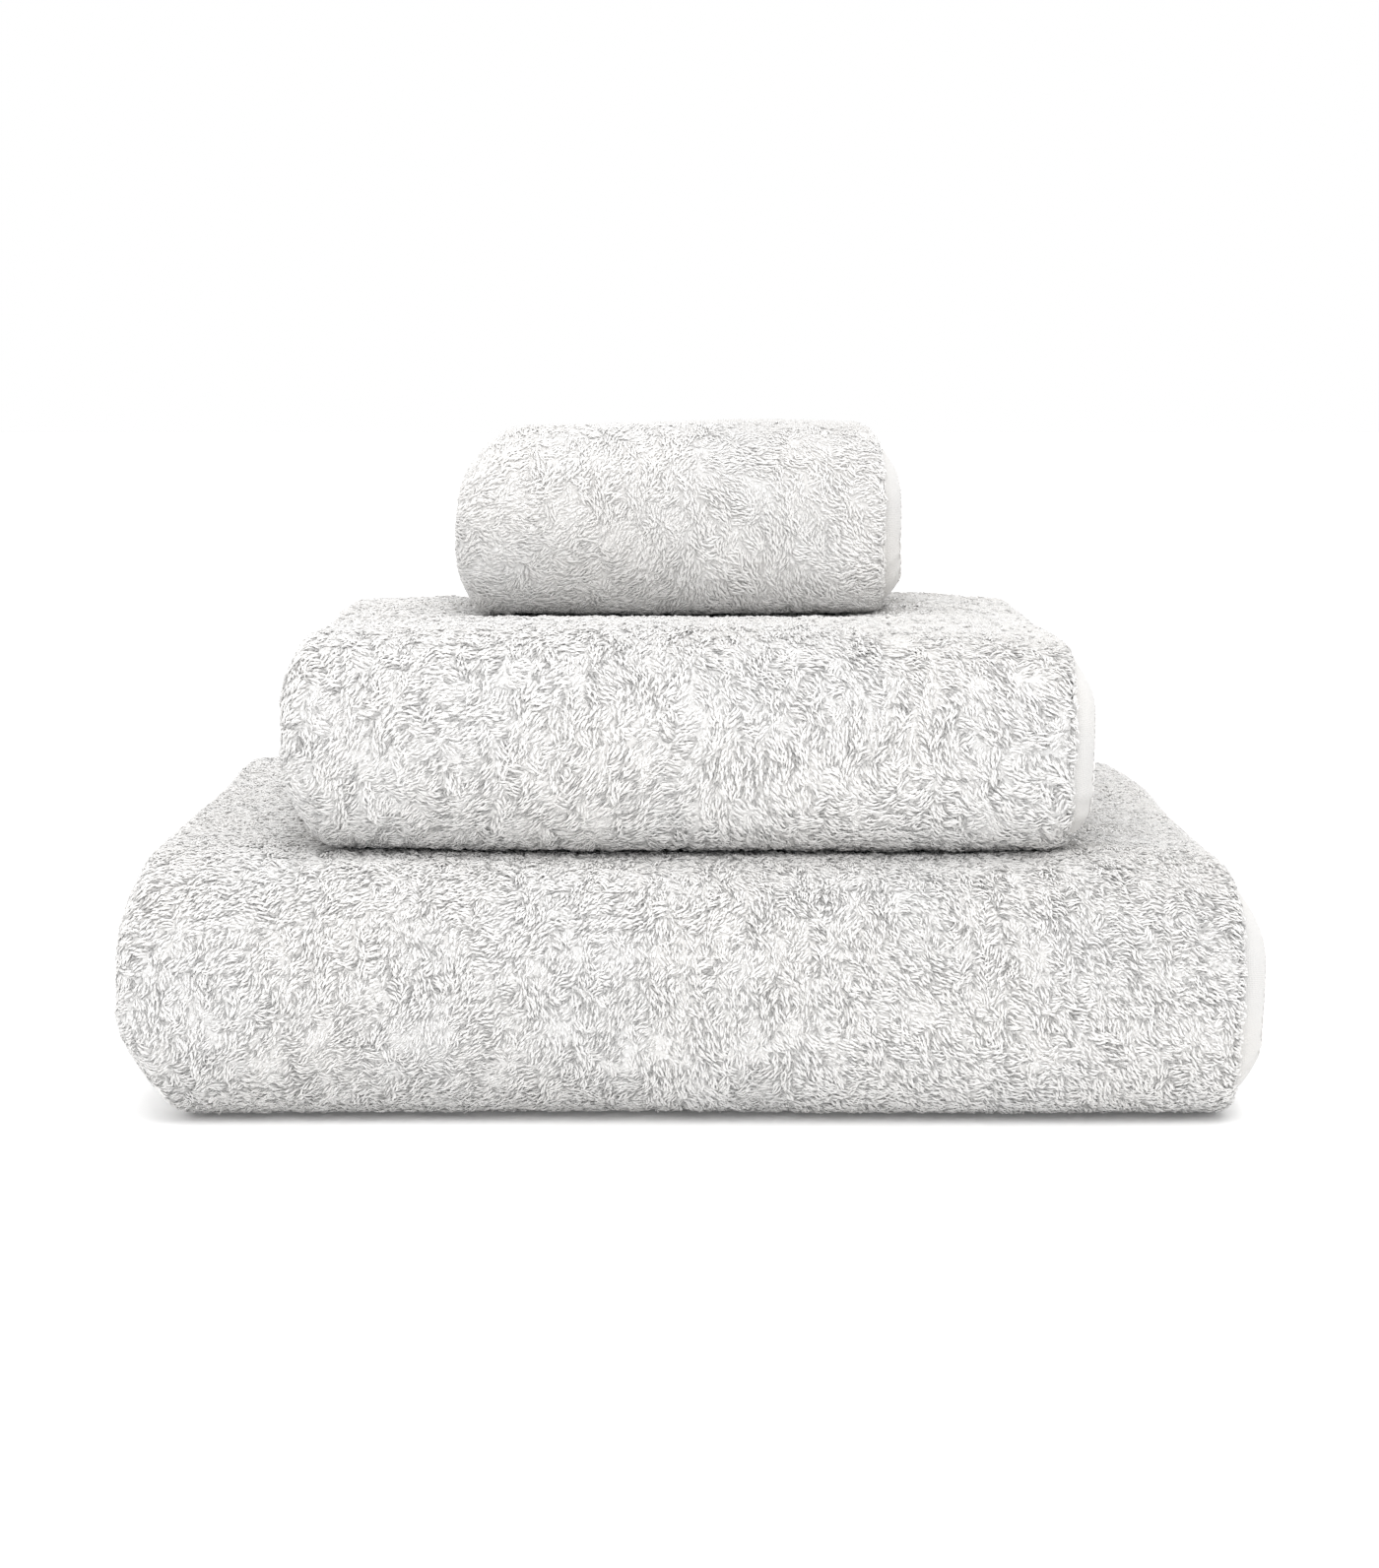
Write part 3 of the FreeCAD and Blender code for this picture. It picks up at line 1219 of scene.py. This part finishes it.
class Effects:
    """The effects that several finishes share, each built once as a node group."""

    def __init__(self) -> None:
        """Builds every group."""
        self.cotton = self._cotton()
        self.painted_shade = self._painted_shade()
        self.twist = self._twist()
        self.weave = self._weave()

    @staticmethod
    def _cotton() -> bpy.types.NodeTree:
        """Undyed cotton's uneven colour: broad warm and cool patches, and yarn to yarn.

        Returns:
            The group.
        """
        group, start, end, nodes = new_group(
            "cotton_colour",
            {
                "Warm": ("NodeSocketColor", (1, 1, 1, 1)),
                "Cool": ("NodeSocketColor", (1, 1, 1, 1)),
                "Tone": ("NodeSocketFloat", 0.5),
                "Tone Share": ("NodeSocketFloat", 0.4),
            },
            {"Colour": "NodeSocketColor"},
        )
        place = nodes.add("ShaderNodeTexCoord").outputs["Object"]
        patch = nodes.ramp(nodes.noise(place, 24.0, 3.0), 0.32, 0.68)
        tone_part = nodes.maths("MULTIPLY", start.outputs["Tone"], start.outputs["Tone Share"])
        rest = nodes.maths("SUBTRACT", 1.0, start.outputs["Tone Share"])
        patch_part = nodes.maths("MULTIPLY", patch, rest)
        share = nodes.maths("ADD", tone_part, patch_part)
        colour = nodes.mix(share, start.outputs["Warm"], start.outputs["Cool"])
        group.links.new(colour, end.inputs["Colour"])
        return group

    @staticmethod
    def _painted_shade() -> bpy.types.NodeTree:
        """Darker cotton in the hollows, where little light gets in between the yarns.

        Returns:
            The group.
        """
        group, start, end, nodes = new_group(
            "shaded_hollows",
            {
                "Colour": ("NodeSocketColor", (1, 1, 1, 1)),
                "Height": ("NodeSocketFloat", 1.0),
                "Clear": ("NodeSocketFloat", 1.0),
                "Darkest": ("NodeSocketFloat", 0.6),
            },
            {"Colour": "NodeSocketColor"},
        )
        risen = nodes.ramp(start.outputs["Height"], 0.0, start.outputs["Clear"])
        lost = nodes.maths("SUBTRACT", 1.0, start.outputs["Darkest"])
        keep = nodes.maths("MULTIPLY", risen, lost)
        keep = nodes.maths("ADD", keep, start.outputs["Darkest"])
        shade = nodes.add("ShaderNodeCombineColor", {0: keep, 1: keep, 2: keep}).outputs[0]
        product = nodes.mix(1.0, start.outputs["Colour"], shade, "MULTIPLY")
        group.links.new(product, end.inputs["Colour"])
        return group

    @staticmethod
    def _twist() -> bpy.types.NodeTree:
        """The slanting plies of a twisted yarn, with fine fibres on them.

        Returns:
            The group.
        """
        group, start, end, nodes = new_group(
            "yarn_twist",
            {
                "Map": ("NodeSocketVector", None),
                "Turns": ("NodeSocketFloat", 5.0),
                "Fibre": ("NodeSocketFloat", 0.4),
            },
            {"Height": "NodeSocketFloat"},
        )
        split = nodes.add("ShaderNodeSeparateXYZ", {0: start.outputs["Map"]})
        slant = nodes.maths("MULTIPLY", split.outputs[1], start.outputs["Turns"])
        phase = nodes.maths("ADD", nodes.maths("MULTIPLY", split.outputs[0], 2.0), slant)
        wave = nodes.maths("SINE", nodes.maths("MULTIPLY", phase, 2 * math.pi))
        ply = nodes.maths("MULTIPLY", nodes.maths("ABSOLUTE", wave), 0.6)
        place = nodes.add("ShaderNodeTexCoord").outputs["Object"]
        fine = nodes.maths("MULTIPLY", nodes.noise(place, 2600.0, 2.0), start.outputs["Fibre"])
        group.links.new(nodes.maths("ADD", ply, fine), end.inputs["Height"])
        return group

    @staticmethod
    def _weave() -> bpy.types.NodeTree:
        """A plain weave: threads over and under each other, uneven like spun cotton.

        Returns:
            The group.
        """
        group, start, end, nodes = new_group(
            "plain_weave",
            {"Map": ("NodeSocketVector", None), "Thread": ("NodeSocketFloat", 0.0006)},
            {"Height": "NodeSocketFloat", "Gaps": "NodeSocketFloat"},
        )
        wobble = nodes.noise(start.outputs["Map"], 340.0, 1.0)
        split = nodes.add("ShaderNodeSeparateXYZ", {0: start.outputs["Map"]})
        waves = []
        for axis in (0, 1):
            turns = nodes.maths("DIVIDE", split.outputs[axis], start.outputs["Thread"])
            turns = nodes.maths("ADD", turns, nodes.maths("MULTIPLY", wobble, 0.7))
            waves.append(nodes.maths("SINE", nodes.maths("MULTIPLY", turns, math.pi)))
        over = nodes.maths("MULTIPLY", waves[0], waves[1])
        ridges = nodes.maths("ABSOLUTE", over)
        height = nodes.maths("ADD", nodes.maths("MULTIPLY", over, 0.35), ridges)
        group.links.new(height, end.inputs["Height"])
        # the mask for the painted shade in the gaps between the threads
        group.links.new(nodes.ramp(ridges, 0.0, 0.35), end.inputs["Gaps"])
        return group


@dataclass(frozen=True)
class CottonFinish:
    """What the cotton finishes share: two near-white tints, and a soft, rough, napped surface."""

    warm: Colour = (0.895, 0.88, 0.862, 1.0)
    cool: Colour = (0.88, 0.873, 0.865, 1.0)
    roughness: float = 0.9
    sheen: float = 0.35
    sheen_roughness: float = 0.5
    specular: float = 0.22

    def start(self, name: str) -> tuple[bpy.types.Material, Nodes, bpy.types.Node]:
        """Makes the material with its plain values set.

        Args:
            name: the material's name.

        Returns:
            The material, a helper for its nodes and its shader.
        """
        material = bpy.data.materials.new(name)
        material.use_nodes = True
        nodes = Nodes(material.node_tree)
        shader = material.node_tree.nodes["Principled BSDF"]
        shader.inputs["Roughness"].default_value = self.roughness
        shader.inputs["Sheen Weight"].default_value = self.sheen
        shader.inputs["Sheen Roughness"].default_value = self.sheen_roughness
        shader.inputs["Specular IOR Level"].default_value = self.specular
        return material, nodes, shader

    def colour(
        self, nodes: Nodes, effects: Effects, tone: Value = 0.5, share: float = 0.0
    ) -> Socket:
        """The uneven cotton colour, of which tone decides the given share."""
        inputs = {"warm": self.warm, "cool": self.cool, "tone": tone, "tone_share": share}
        return nodes.group(effects.cotton, **inputs).outputs["Colour"]

    def finish(
        self, nodes: Nodes, shader: bpy.types.Node, colour: Socket, height: Socket, depth: float
    ) -> None:
        """Feeds the surface.

        Args:
            nodes: the material's nodes.
            shader: the material's shader.
            colour: of the surface.
            height: of the relief, from 0 to 1.
            depth: of the relief, in metres.
        """
        bump = nodes.add("ShaderNodeBump", {"Height": height, "Distance": depth})
        nodes.tree.links.new(colour, shader.inputs["Base Color"])
        nodes.tree.links.new(bump.outputs["Normal"], shader.inputs["Normal"])


@dataclass(frozen=True)
class LoopFinish(CottonFinish):
    """Twisted loops, with painted shade in their colour: lighter on top, darker towards their roots
    and at the rims of the tufts.
    """

    darkest: float = 0.3  # what the painted shade leaves of the colour at the roots
    clear: float = 0.85  # the rise at which the painted shade leaves all of the colour
    tone_share: float = 0.5  # how much of the tint each loop draws for itself
    turns: float = 3.0
    ply_depth: float = 0.09 * MM

    def material(self, effects: Effects) -> bpy.types.Material:
        """Makes the material.

        Args:
            effects: the shared groups.

        Returns:
            The material.
        """
        material, nodes, shader = self.start("terry_loops")
        tone = nodes.add("ShaderNodeAttribute", attribute_name="tone").outputs["Fac"]
        rise = nodes.add("ShaderNodeAttribute", attribute_name="rise").outputs["Fac"]
        colour = self.colour(nodes, effects, tone, self.tone_share)
        # Painted shade: the colour is darkened by the rise, towards the roots and at the tufts'
        # rims.
        shaded = nodes.group(
            effects.painted_shade, colour=colour, height=rise, darkest=self.darkest, clear=self.clear
        )
        yarn = nodes.add("ShaderNodeUVMap", uv_map="yarn").outputs["UV"]
        twist = nodes.group(effects.twist, map=yarn, turns=self.turns)
        self.finish(nodes, shader, shaded.outputs[0], twist.outputs[0], self.ply_depth)
        return material


@dataclass(frozen=True)
class GroundFinish(CottonFinish):
    """The bed of the pile, which shows only between the loops and at the cloth's edges."""

    # what the painted shade leaves of the colour in the hollows of the grain
    darkest: float = 0.75
    grain: float = 620.0
    grain_depth: float = 0.5 * MM

    def material(self, effects: Effects) -> bpy.types.Material:
        """Makes the material.

        Args:
            effects: the shared groups.

        Returns:
            The material.
        """
        material, nodes, shader = self.start("terry_ground")
        place = nodes.add("ShaderNodeTexCoord").outputs["Object"]
        cells = nodes.add("ShaderNodeTexVoronoi", {"Vector": place, "Scale": self.grain})
        height = nodes.ramp(cells.outputs["Distance"], 0.75, 0.1)
        colour = self.colour(nodes, effects)
        # Painted shade: the hollows of the grain are darkened in the colour, as well as bumped.
        shaded = nodes.group(effects.painted_shade, colour=colour, height=height, darkest=self.darkest)
        self.finish(nodes, shader, shaded.outputs[0], height, self.grain_depth)
        return material


@dataclass(frozen=True)
class HemFinish(CottonFinish):
    """Flat woven cotton with a row of needle holes along each seam, and painted shade in the
    weave's gaps and in the holes.
    """

    warm: Colour = (0.69, 0.676, 0.657, 1.0)
    cool: Colour = (0.676, 0.668, 0.659, 1.0)
    thread: float = 0.55 * MM
    weave_depth: float = 0.08 * MM
    gap_shade: float = 0.86
    stitch: float = STITCH_PITCH
    hole: float = 0.38 * MM
    hole_shade: float = 0.5

    def material(self, effects: Effects) -> bpy.types.Material:
        """Makes the material.

        Args:
            effects: the shared groups.

        Returns:
            The material.
        """
        material, nodes, shader = self.start("woven_hem")
        cloth = nodes.add("ShaderNodeUVMap", uv_map="cloth").outputs["UV"]
        weave = nodes.group(effects.weave, map=cloth, thread=self.thread)
        colour = self.colour(nodes, effects)
        # Painted shade: the colour is darkened in the gaps of the weave and in the needle holes.
        for height, darkest in (
            (weave.outputs["Gaps"], self.gap_shade),
            (self.outside_holes(nodes), self.hole_shade),
        ):
            shaded = nodes.group(effects.painted_shade, colour=colour, height=height, darkest=darkest)
            colour = shaded.outputs[0]
        self.finish(nodes, shader, colour, weave.outputs["Height"], self.weave_depth)
        return material

    def outside_holes(self, nodes: Nodes) -> Socket:
        """Marks the needle holes.

        Args:
            nodes: the material's nodes.

        Returns:
            A value that is 0 in a hole and 1 away from it.
        """
        seam = nodes.add("ShaderNodeUVMap", uv_map="seam").outputs["UV"]
        split = nodes.add("ShaderNodeSeparateXYZ", {0: seam})
        nearest = nodes.maths("ROUND", split.outputs[1])
        lengthwise = nodes.maths("SUBTRACT", split.outputs[1], nearest)
        lengthwise = nodes.maths("MULTIPLY", lengthwise, self.stitch)
        squares = [nodes.maths("MULTIPLY", d, d) for d in (split.outputs[0], lengthwise)]
        distance = nodes.maths("SQRT", nodes.maths("ADD", *squares))
        return nodes.ramp(distance, self.hole * 0.4, self.hole)


@dataclass(frozen=True)
class ThreadFinish(CottonFinish):
    """Tightly twisted sewing thread, a little smoother than the cloth."""

    roughness: float = 0.6
    turns: float = 6.0
    ply_depth: float = 0.06 * MM

    def material(self, effects: Effects) -> bpy.types.Material:
        """Makes the material.

        Args:
            effects: the shared groups.

        Returns:
            The material.
        """
        material, nodes, shader = self.start("sewing_thread")
        yarn = nodes.add("ShaderNodeUVMap", uv_map="yarn").outputs["UV"]
        twist = nodes.group(effects.twist, map=yarn, turns=self.turns)
        self.finish(nodes, shader, self.colour(nodes, effects), twist.outputs[0], self.ply_depth)
        return material


@dataclass
class Wardrobe:
    """Every finish of the set, made once."""

    loops: bpy.types.Material
    ground: bpy.types.Material
    hem: bpy.types.Material
    thread: bpy.types.Material

    @classmethod
    def make(cls) -> "Wardrobe":
        """Makes the finishes on one set of shared effects.

        Returns:
            The finishes.
        """
        effects = Effects()
        return cls(
            LoopFinish().material(effects),
            GroundFinish().material(effects),
            HemFinish().material(effects),
            ThreadFinish().material(effects),
        )


# ------------------------------------------------------------------------------ the towels


@dataclass
class Towel:
    """One towel: its cloth, hems, seams and pile."""

    name: str
    flat: tuple[float, float]  # cut width and length
    finishes: Wardrobe
    load_on_top: Area | None
    rests_on: str | None
    loops: LoopSizes
    ground_depth: float  # from the pile's top down to the ground cloth
    shoulders: Shoulders
    seed: int
    droop_right: float = 3.0 * MM
    ground_lap: float = 0.5 * MM  # of the ground cloth under the hems
    pile_lap: float = 0.6 * MM  # of the loops' roots under the hems
    hem_lap: float = 2.5 * MM  # of the hems over the ground cloth
    hem_rounding: float = 1.2 * MM
    ground_rounding: float = 2.2 * MM
    seam_inset: float = 1.4 * MM
    thread_sunk: float = 0.45 * MM
    covered_front: float = 46 * MM  # how far behind the load's front the thin pile begins
    covered_back: float = 14 * MM
    covered_side: float = 8 * MM

    def __post_init__(self) -> None:
        """Works out the folds and the pile."""
        self.cloth = FoldedCloth(self.name, self.load_on_top, self.shoulders, self.droop_right)
        self.pile = Pile(self.cloth, self.seed, self.loops)
        self.stitches = Stitches(self.cloth)

    def build(self) -> None:
        """Makes and dresses every piece of the towel."""
        ground = self.ground()
        others = [*self.hems(), *self.pile_pieces()]

    def dress(self, piece: bpy.types.Object, material: bpy.types.Material) -> None:
        """Gives a piece its finish and its place on the towel.

        Args:
            piece: the piece.
            material: its finish.
        """
        piece.data.materials.append(material)
        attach(piece, self.name)
        LOG.info("%s: %d faces", piece.name, len(piece.data.polygons))

    def ground(self) -> bpy.types.Object:
        """Makes the cloth itself, with the bed of its pile, in all its folds.

        Returns:
            The piece.
        """
        cloth = self.cloth
        fold_steps = np.linspace(cloth.fold_start, cloth.fold_end, 12)
        inset = cloth.side_hem - self.ground_lap
        rolled = cloth.side_hem + 9 * MM
        near, leaf = np.linspace(inset, rolled, 9), np.linspace(rolled, cloth.fold_start, 34)
        outer = np.concatenate([near[:-1], leaf[:-1]])
        inner = cloth.fold_end + (cloth.fold_start - outer[::-1])
        inner = np.clip(inner, cloth.fold_end, cloth.width - inset)
        inner[-1] = cloth.width - inset
        across = np.concatenate([outer, fold_steps, inner[1:]])
        end = cloth.end_hem - self.ground_lap
        along = cloth.along_grid(8 * MM, 3.2 * MM, end, cloth.length - end)
        half = cloth.leaf / 2 - self.ground_depth
        slab = Slab(cloth, np.unique(across), along, half, self.ground_rounding)
        piece = slab.build(f"{self.name}_ground_cloth", GroundRelief(self.seed))
        self.dress(piece, self.finishes.ground)
        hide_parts(f"{self.name}_terry_panel")
        return piece

    def seam_map(self, edge: Edge) -> SeamMap:
        """Says where the stitches of one hem are.

        Args:
            edge: which hem.

        Returns:
            The two rows, as a map of the hem.
        """
        cloth = self.cloth
        width, extent, length, trim = cloth.end_hem, cloth.length, cloth.width, 0.0
        if edge.lengthwise:
            width, extent, length, trim = cloth.side_hem, cloth.width, cloth.length, cloth.end_hem
        lines = (self.seam_inset, width - self.seam_inset)
        if edge.far:
            lines = (extent - lines[0], extent - lines[1])
        count = self.stitches.count(trim, length - trim)
        return SeamMap(lines, trim, length - trim, count, edge.lengthwise)

    def hem(self, edge: Edge, across: np.ndarray, along: np.ndarray) -> list[bpy.types.Object]:
        """Makes one hem and its seam.

        Args:
            edge: which of the four it is.
            across: the grid's distances across the cloth.
            along: the grid's distances along it.

        Returns:
            The band and its stitches.
        """
        cloth, label, seam = self.cloth, edge.value, self.seam_map(edge)
        bend_start, bend_end = cloth.marks[1], cloth.marks[2]
        creased = (bend_start - 6 * MM, bend_start + 0.42 * (bend_end - bend_start))
        slab = Slab(cloth, across, along, cloth.hem_thickness / 2 - 0.2 * MM, self.hem_rounding)
        relief = HemRelief(seam, creased, self.seed + sum(map(ord, label)))
        band = slab.build(f"{self.name}_{label}_hem_band", relief, seam)
        self.dress(band, self.finishes.hem)
        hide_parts(f"{self.name}_{label}_hem")
        height = cloth.hem_thickness / 2 - self.thread_sunk
        rows = [
            SeamRow(line, seam.start, seam.end, height, seam.lengthwise) for line in seam.lines
        ]
        threads = self.stitches.build(f"{self.name}_{label}_seam", rows)
        self.dress(threads, self.finishes.thread)
        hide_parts(f"{self.name}_{label}_stitching")
        return [band, threads]

    def hems(self) -> list[bpy.types.Object]:
        """Makes the four flat bands round the towel's edges, with their seams.

        Returns:
            The pieces.
        """
        cloth, lip_width = self.cloth, self.hem_rounding
        made = []
        lip = np.linspace(0, lip_width, 4)[:-1]
        side = np.concatenate([lip, np.linspace(lip_width, cloth.side_hem + self.hem_lap, 16)])
        along = cloth.along_grid(2.4 * MM, 1.2 * MM, cloth.end_hem, cloth.length - cloth.end_hem)
        for edge in (Edge.OUTER_SIDE, Edge.INNER_SIDE):
            made += self.hem(edge, cloth.width - side[::-1] if edge.far else side, along)
        corner = 20 * MM
        near = np.linspace(0, corner, 12)
        leaf = np.linspace(corner, cloth.fold_start, 60)
        fold = np.linspace(cloth.fold_start, cloth.fold_end, 12)
        inner_leaf = np.linspace(cloth.fold_end, cloth.width - corner, 60)
        across = [near[:-1], leaf[:-1], fold[:-1], inner_leaf[:-1], cloth.width - near[::-1]]
        across = np.concatenate(across)
        end = np.concatenate([lip, np.linspace(lip_width, cloth.end_hem + self.hem_lap, 14)])
        for edge in (Edge.LOWER_END, Edge.UPPER_END):
            made += self.hem(edge, across, cloth.length - end[::-1] if edge.far else end)
        return made

    def top_patches(self, face: tuple[float, float]) -> list[Patch]:
        """Divides up the top run, with thinner pile where another towel lies on it.

        Args:
            face: where the outer leaf starts and ends, across the cloth.

        Returns:
            The patches.
        """
        cloth, (start, end) = self.cloth, self.cloth.marks[2:4]
        if not self.load_on_top:
            return [Patch("top", face, (start, end))]
        low_x, high_x, low_y, high_y = self.load_on_top
        right = cloth.right_x - high_x + self.covered_side
        left = cloth.right_x - low_x - self.covered_side
        front = start + low_y - cloth.front_centre_y + self.covered_front
        back = start + high_y - cloth.front_centre_y - self.covered_back
        return [
            Patch("top_right", (face[0], right), (start, end), coarse=1.1),
            Patch("top_left", (left, face[1]), (start, end), coarse=1.1),
            Patch("top_front", (right, left), (start, front)),
            Patch("top_covered", (right, left), (front, back), coarse=2.0),
            Patch("top_back", (right, left), (back, end), coarse=1.12),
        ]

    def patches(self) -> list[Patch]:
        """Divides up the cloth where it shows its pile.

        Returns:
            The patches.
        """
        cloth, marks = self.cloth, self.cloth.marks
        hem, end = cloth.side_hem - self.pile_lap, cloth.end_hem - self.pile_lap
        fold_start, fold_end = cloth.fold_start, cloth.fold_end
        face = (hem, fold_start)
        patches = [
            Patch("underside", face, (end, marks[1]), coarse=2.6),
            Patch("back", face, (marks[3], marks[4]), coarse=1.25),
            *self.top_patches(face),
        ]
        front_cuts = np.linspace(marks[1], marks[2], 4)
        for label, low, high in zip(("low", "middle", "high"), front_cuts[:-1], front_cuts[1:]):
            patches.append(Patch(f"front_{label}", face, (low, high)))
        fold = (fold_start, fold_end)
        patches.append(Patch("side_fold_low", fold, (end, marks[2])))
        patches.append(Patch("side_fold_high", fold, (marks[2], marks[4])))
        patches.append(Patch("side_fold_middle", fold, (marks[4], cloth.length - end), coarse=1.2))
        return patches

    def pile_pieces(self) -> list[bpy.types.Object]:
        """Makes the loops of every patch.

        Returns:
            The pieces.
        """
        made = []
        for patch in self.patches():
            piece = self.pile.loops(patch)
            self.dress(piece, self.finishes.loops)
            made.append(piece)
        return made


# ------------------------------------------------------------------------------ the studio


@dataclass
class Studio:
    """A plain white floor and surroundings, soft light and the camera."""

    camera_distance: float = 1.222  # in front of the stack's front
    camera_height: float = 0.233
    camera_tilt: float = math.radians(5.92)  # down from level
    lens: float = 93.3
    floor_colour: Colour = (1.0, 1.0, 1.0, 1.0)
    room_strength: float = 0.98
    key_strength: float = 1.4
    key_tilt: float = math.radians(17)  # towards the front, from straight above
    key_spread: float = math.radians(55)
    front_power: float = 4.0
    front_size: float = 1.2
    front_place: Place = (0.0, -1.3, 1.1)
    front_aim: Place = (0.0, -0.1, 0.12)
    floor_glow: float = 0.06
    floor_reach: float = 12.0
    floor_roughness: float = 0.6

    def build(self) -> None:
        """Sets up everything that isn't the object."""
        low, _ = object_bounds()
        self.floor(low[2])
        self.lights()
        self.camera(low)
        bpy.context.scene.view_settings.view_transform = "Standard"

    def floor(self, level: float) -> None:
        """Lays a wide flat floor.

        Args:
            level: its height.
        """
        reach = self.floor_reach
        corners = [(-reach, -reach), (reach, -reach), (reach, reach), (-reach, reach)]
        points = np.array([(x, y, level) for x, y in corners])
        floor = MeshMaker.build("floor", points, np.array([[0, 1, 2, 3]]))
        material = bpy.data.materials.new("white_floor")
        material.use_nodes = True
        shader = material.node_tree.nodes["Principled BSDF"]
        shader.inputs["Base Color"].default_value = self.floor_colour
        shader.inputs["Roughness"].default_value = self.floor_roughness
        shader.inputs["Emission Color"].default_value = self.floor_colour
        shader.inputs["Emission Strength"].default_value = self.floor_glow
        floor.data.materials.append(material)
        floor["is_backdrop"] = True

    def lights(self) -> None:
        """Soft light from all round and from a wide source overhead, before a white background."""
        world = bpy.data.worlds.new("white_room")
        world.use_nodes = True
        nodes = Nodes(world.node_tree)
        seen = nodes.add("ShaderNodeLightPath").outputs["Is Camera Ray"]
        strength = nodes.add(
            "ShaderNodeMapRange", {"Value": seen, "To Min": self.room_strength, "To Max": 1.0}
        )
        background = world.node_tree.nodes["Background"]
        background.inputs["Color"].default_value = (1.0, 1.0, 1.0, 1.0)
        nodes.tree.links.new(strength.outputs["Result"], background.inputs["Strength"])
        bpy.context.scene.world = world
        overhead = bpy.data.lights.new("overhead", "SUN")
        overhead.energy = self.key_strength
        overhead.angle = self.key_spread
        self.hang(overhead, (0.0, 0.0, 2.0), (self.key_tilt, 0.0, 0.0))
        softbox = bpy.data.lights.new("softbox", "AREA")
        softbox.energy = self.front_power
        softbox.size = self.front_size
        aim = Vector(self.front_aim) - Vector(self.front_place)
        self.hang(softbox, self.front_place, aim.to_track_quat("-Z", "Y").to_euler())

    def hang(self, light: bpy.types.Light, place: Place, turn: Place | Euler) -> None:
        """Puts a light into the scene.

        Args:
            light: the light.
            place: where it hangs.
            turn: the angles about x, y and z that it is turned by.
        """
        lamp = bpy.data.objects.new(light.name, light)
        lamp.location = place
        lamp.rotation_euler = turn
        bpy.context.scene.collection.objects.link(lamp)

    def camera(self, low: Vector) -> None:
        """Sets up a long lens, a little above the stack and looking slightly down.

        Args:
            low: the stack's lowest corner, at the front left.
        """
        data = bpy.data.cameras.new("camera")
        data.lens = self.lens
        data.clip_end = 50.0
        camera = bpy.data.objects.new("camera", data)
        camera.location = (0.0, low[1] - self.camera_distance, low[2] + self.camera_height)
        camera.rotation_euler = (math.pi / 2 - self.camera_tilt, 0.0, 0.0)
        bpy.context.scene.collection.objects.link(camera)
        bpy.context.scene.camera = camera


# ------------------------------------------------------------------------------ the set


def footprint(name: str, inset: float = 8 * MM) -> Area:
    """Says where a towel presses on the one below.

    Args:
        name: the upper towel's.
        inset: how far in from the towel's edges it starts to press.

    Returns:
        The area.
    """
    low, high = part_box(f"{name}_terry_panel")
    return low[0] + inset, high[0] - inset, low[1] + inset, high[1] - inset


def main() -> None:
    """Builds the towels, then the studio."""
    logging.basicConfig(level=logging.INFO, format="%(message)s")
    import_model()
    finishes = Wardrobe.make()
    bath = Towel(
        "bath_towel",
        (0.70, 1.40),
        finishes,
        footprint("hand_towel"),
        None,
        LoopSizes(
            length=4.2 * MM,
            radius=0.38 * MM,
            spacing=1.03 * MM,
            depth=1.6 * MM,
            tuft=3.3 * MM,
            unevenness=0.34 * MM,
            painted_shade=0.7,
        ),
        ground_depth=0.9 * MM,
        shoulders=Shoulders(
            Shoulder(10 * MM, 28 * MM),
            Shoulder(15 * MM, 32 * MM),
            Shoulder(12 * MM, 34 * MM, 10 * MM),
            Shoulder(10 * MM, 24 * MM),
        ),
        seed=101,
    )
    hand = Towel(
        "hand_towel",
        (0.50, 1.00),
        finishes,
        footprint("guest_towel"),
        "bath_towel_ground_cloth",
        LoopSizes(
            length=5.2 * MM,
            radius=0.44 * MM,
            spacing=1.12 * MM,
            depth=1.9 * MM,
            tuft=4.1 * MM,
            unevenness=0.36 * MM,
            painted_shade=0.68,
        ),
        ground_depth=0.95 * MM,
        shoulders=Shoulders(
            Shoulder(10 * MM, 24 * MM),
            Shoulder(10 * MM, 22 * MM),
            Shoulder(12 * MM, 26 * MM, 4 * MM),
            Shoulder(6 * MM, 13 * MM),
        ),
        seed=211,
    )
    guest = Towel(
        "guest_towel",
        (0.30, 0.50),
        finishes,
        None,
        "hand_towel_ground_cloth",
        LoopSizes(
            length=5.2 * MM,
            radius=0.43 * MM,
            spacing=1.08 * MM,
            depth=1.9 * MM,
            tuft=3.9 * MM,
            unevenness=0.24 * MM,
            painted_shade=0.4,
        ),
        ground_depth=0.85 * MM,
        shoulders=Shoulders(
            Shoulder(24 * MM, 32 * MM),
            Shoulder(15 * MM, 26 * MM),
            Shoulder(6 * MM, 20 * MM, 3.5 * MM),
            Shoulder(6 * MM, 14 * MM, 1.5 * MM),
        ),
        seed=307,
        droop_right=1.5 * MM,
    )
    for towel in (bath, hand, guest):
        towel.build()
        LOG.info("%s is built", towel.name)
    Studio().build()


if __name__ == "__main__":
    main()
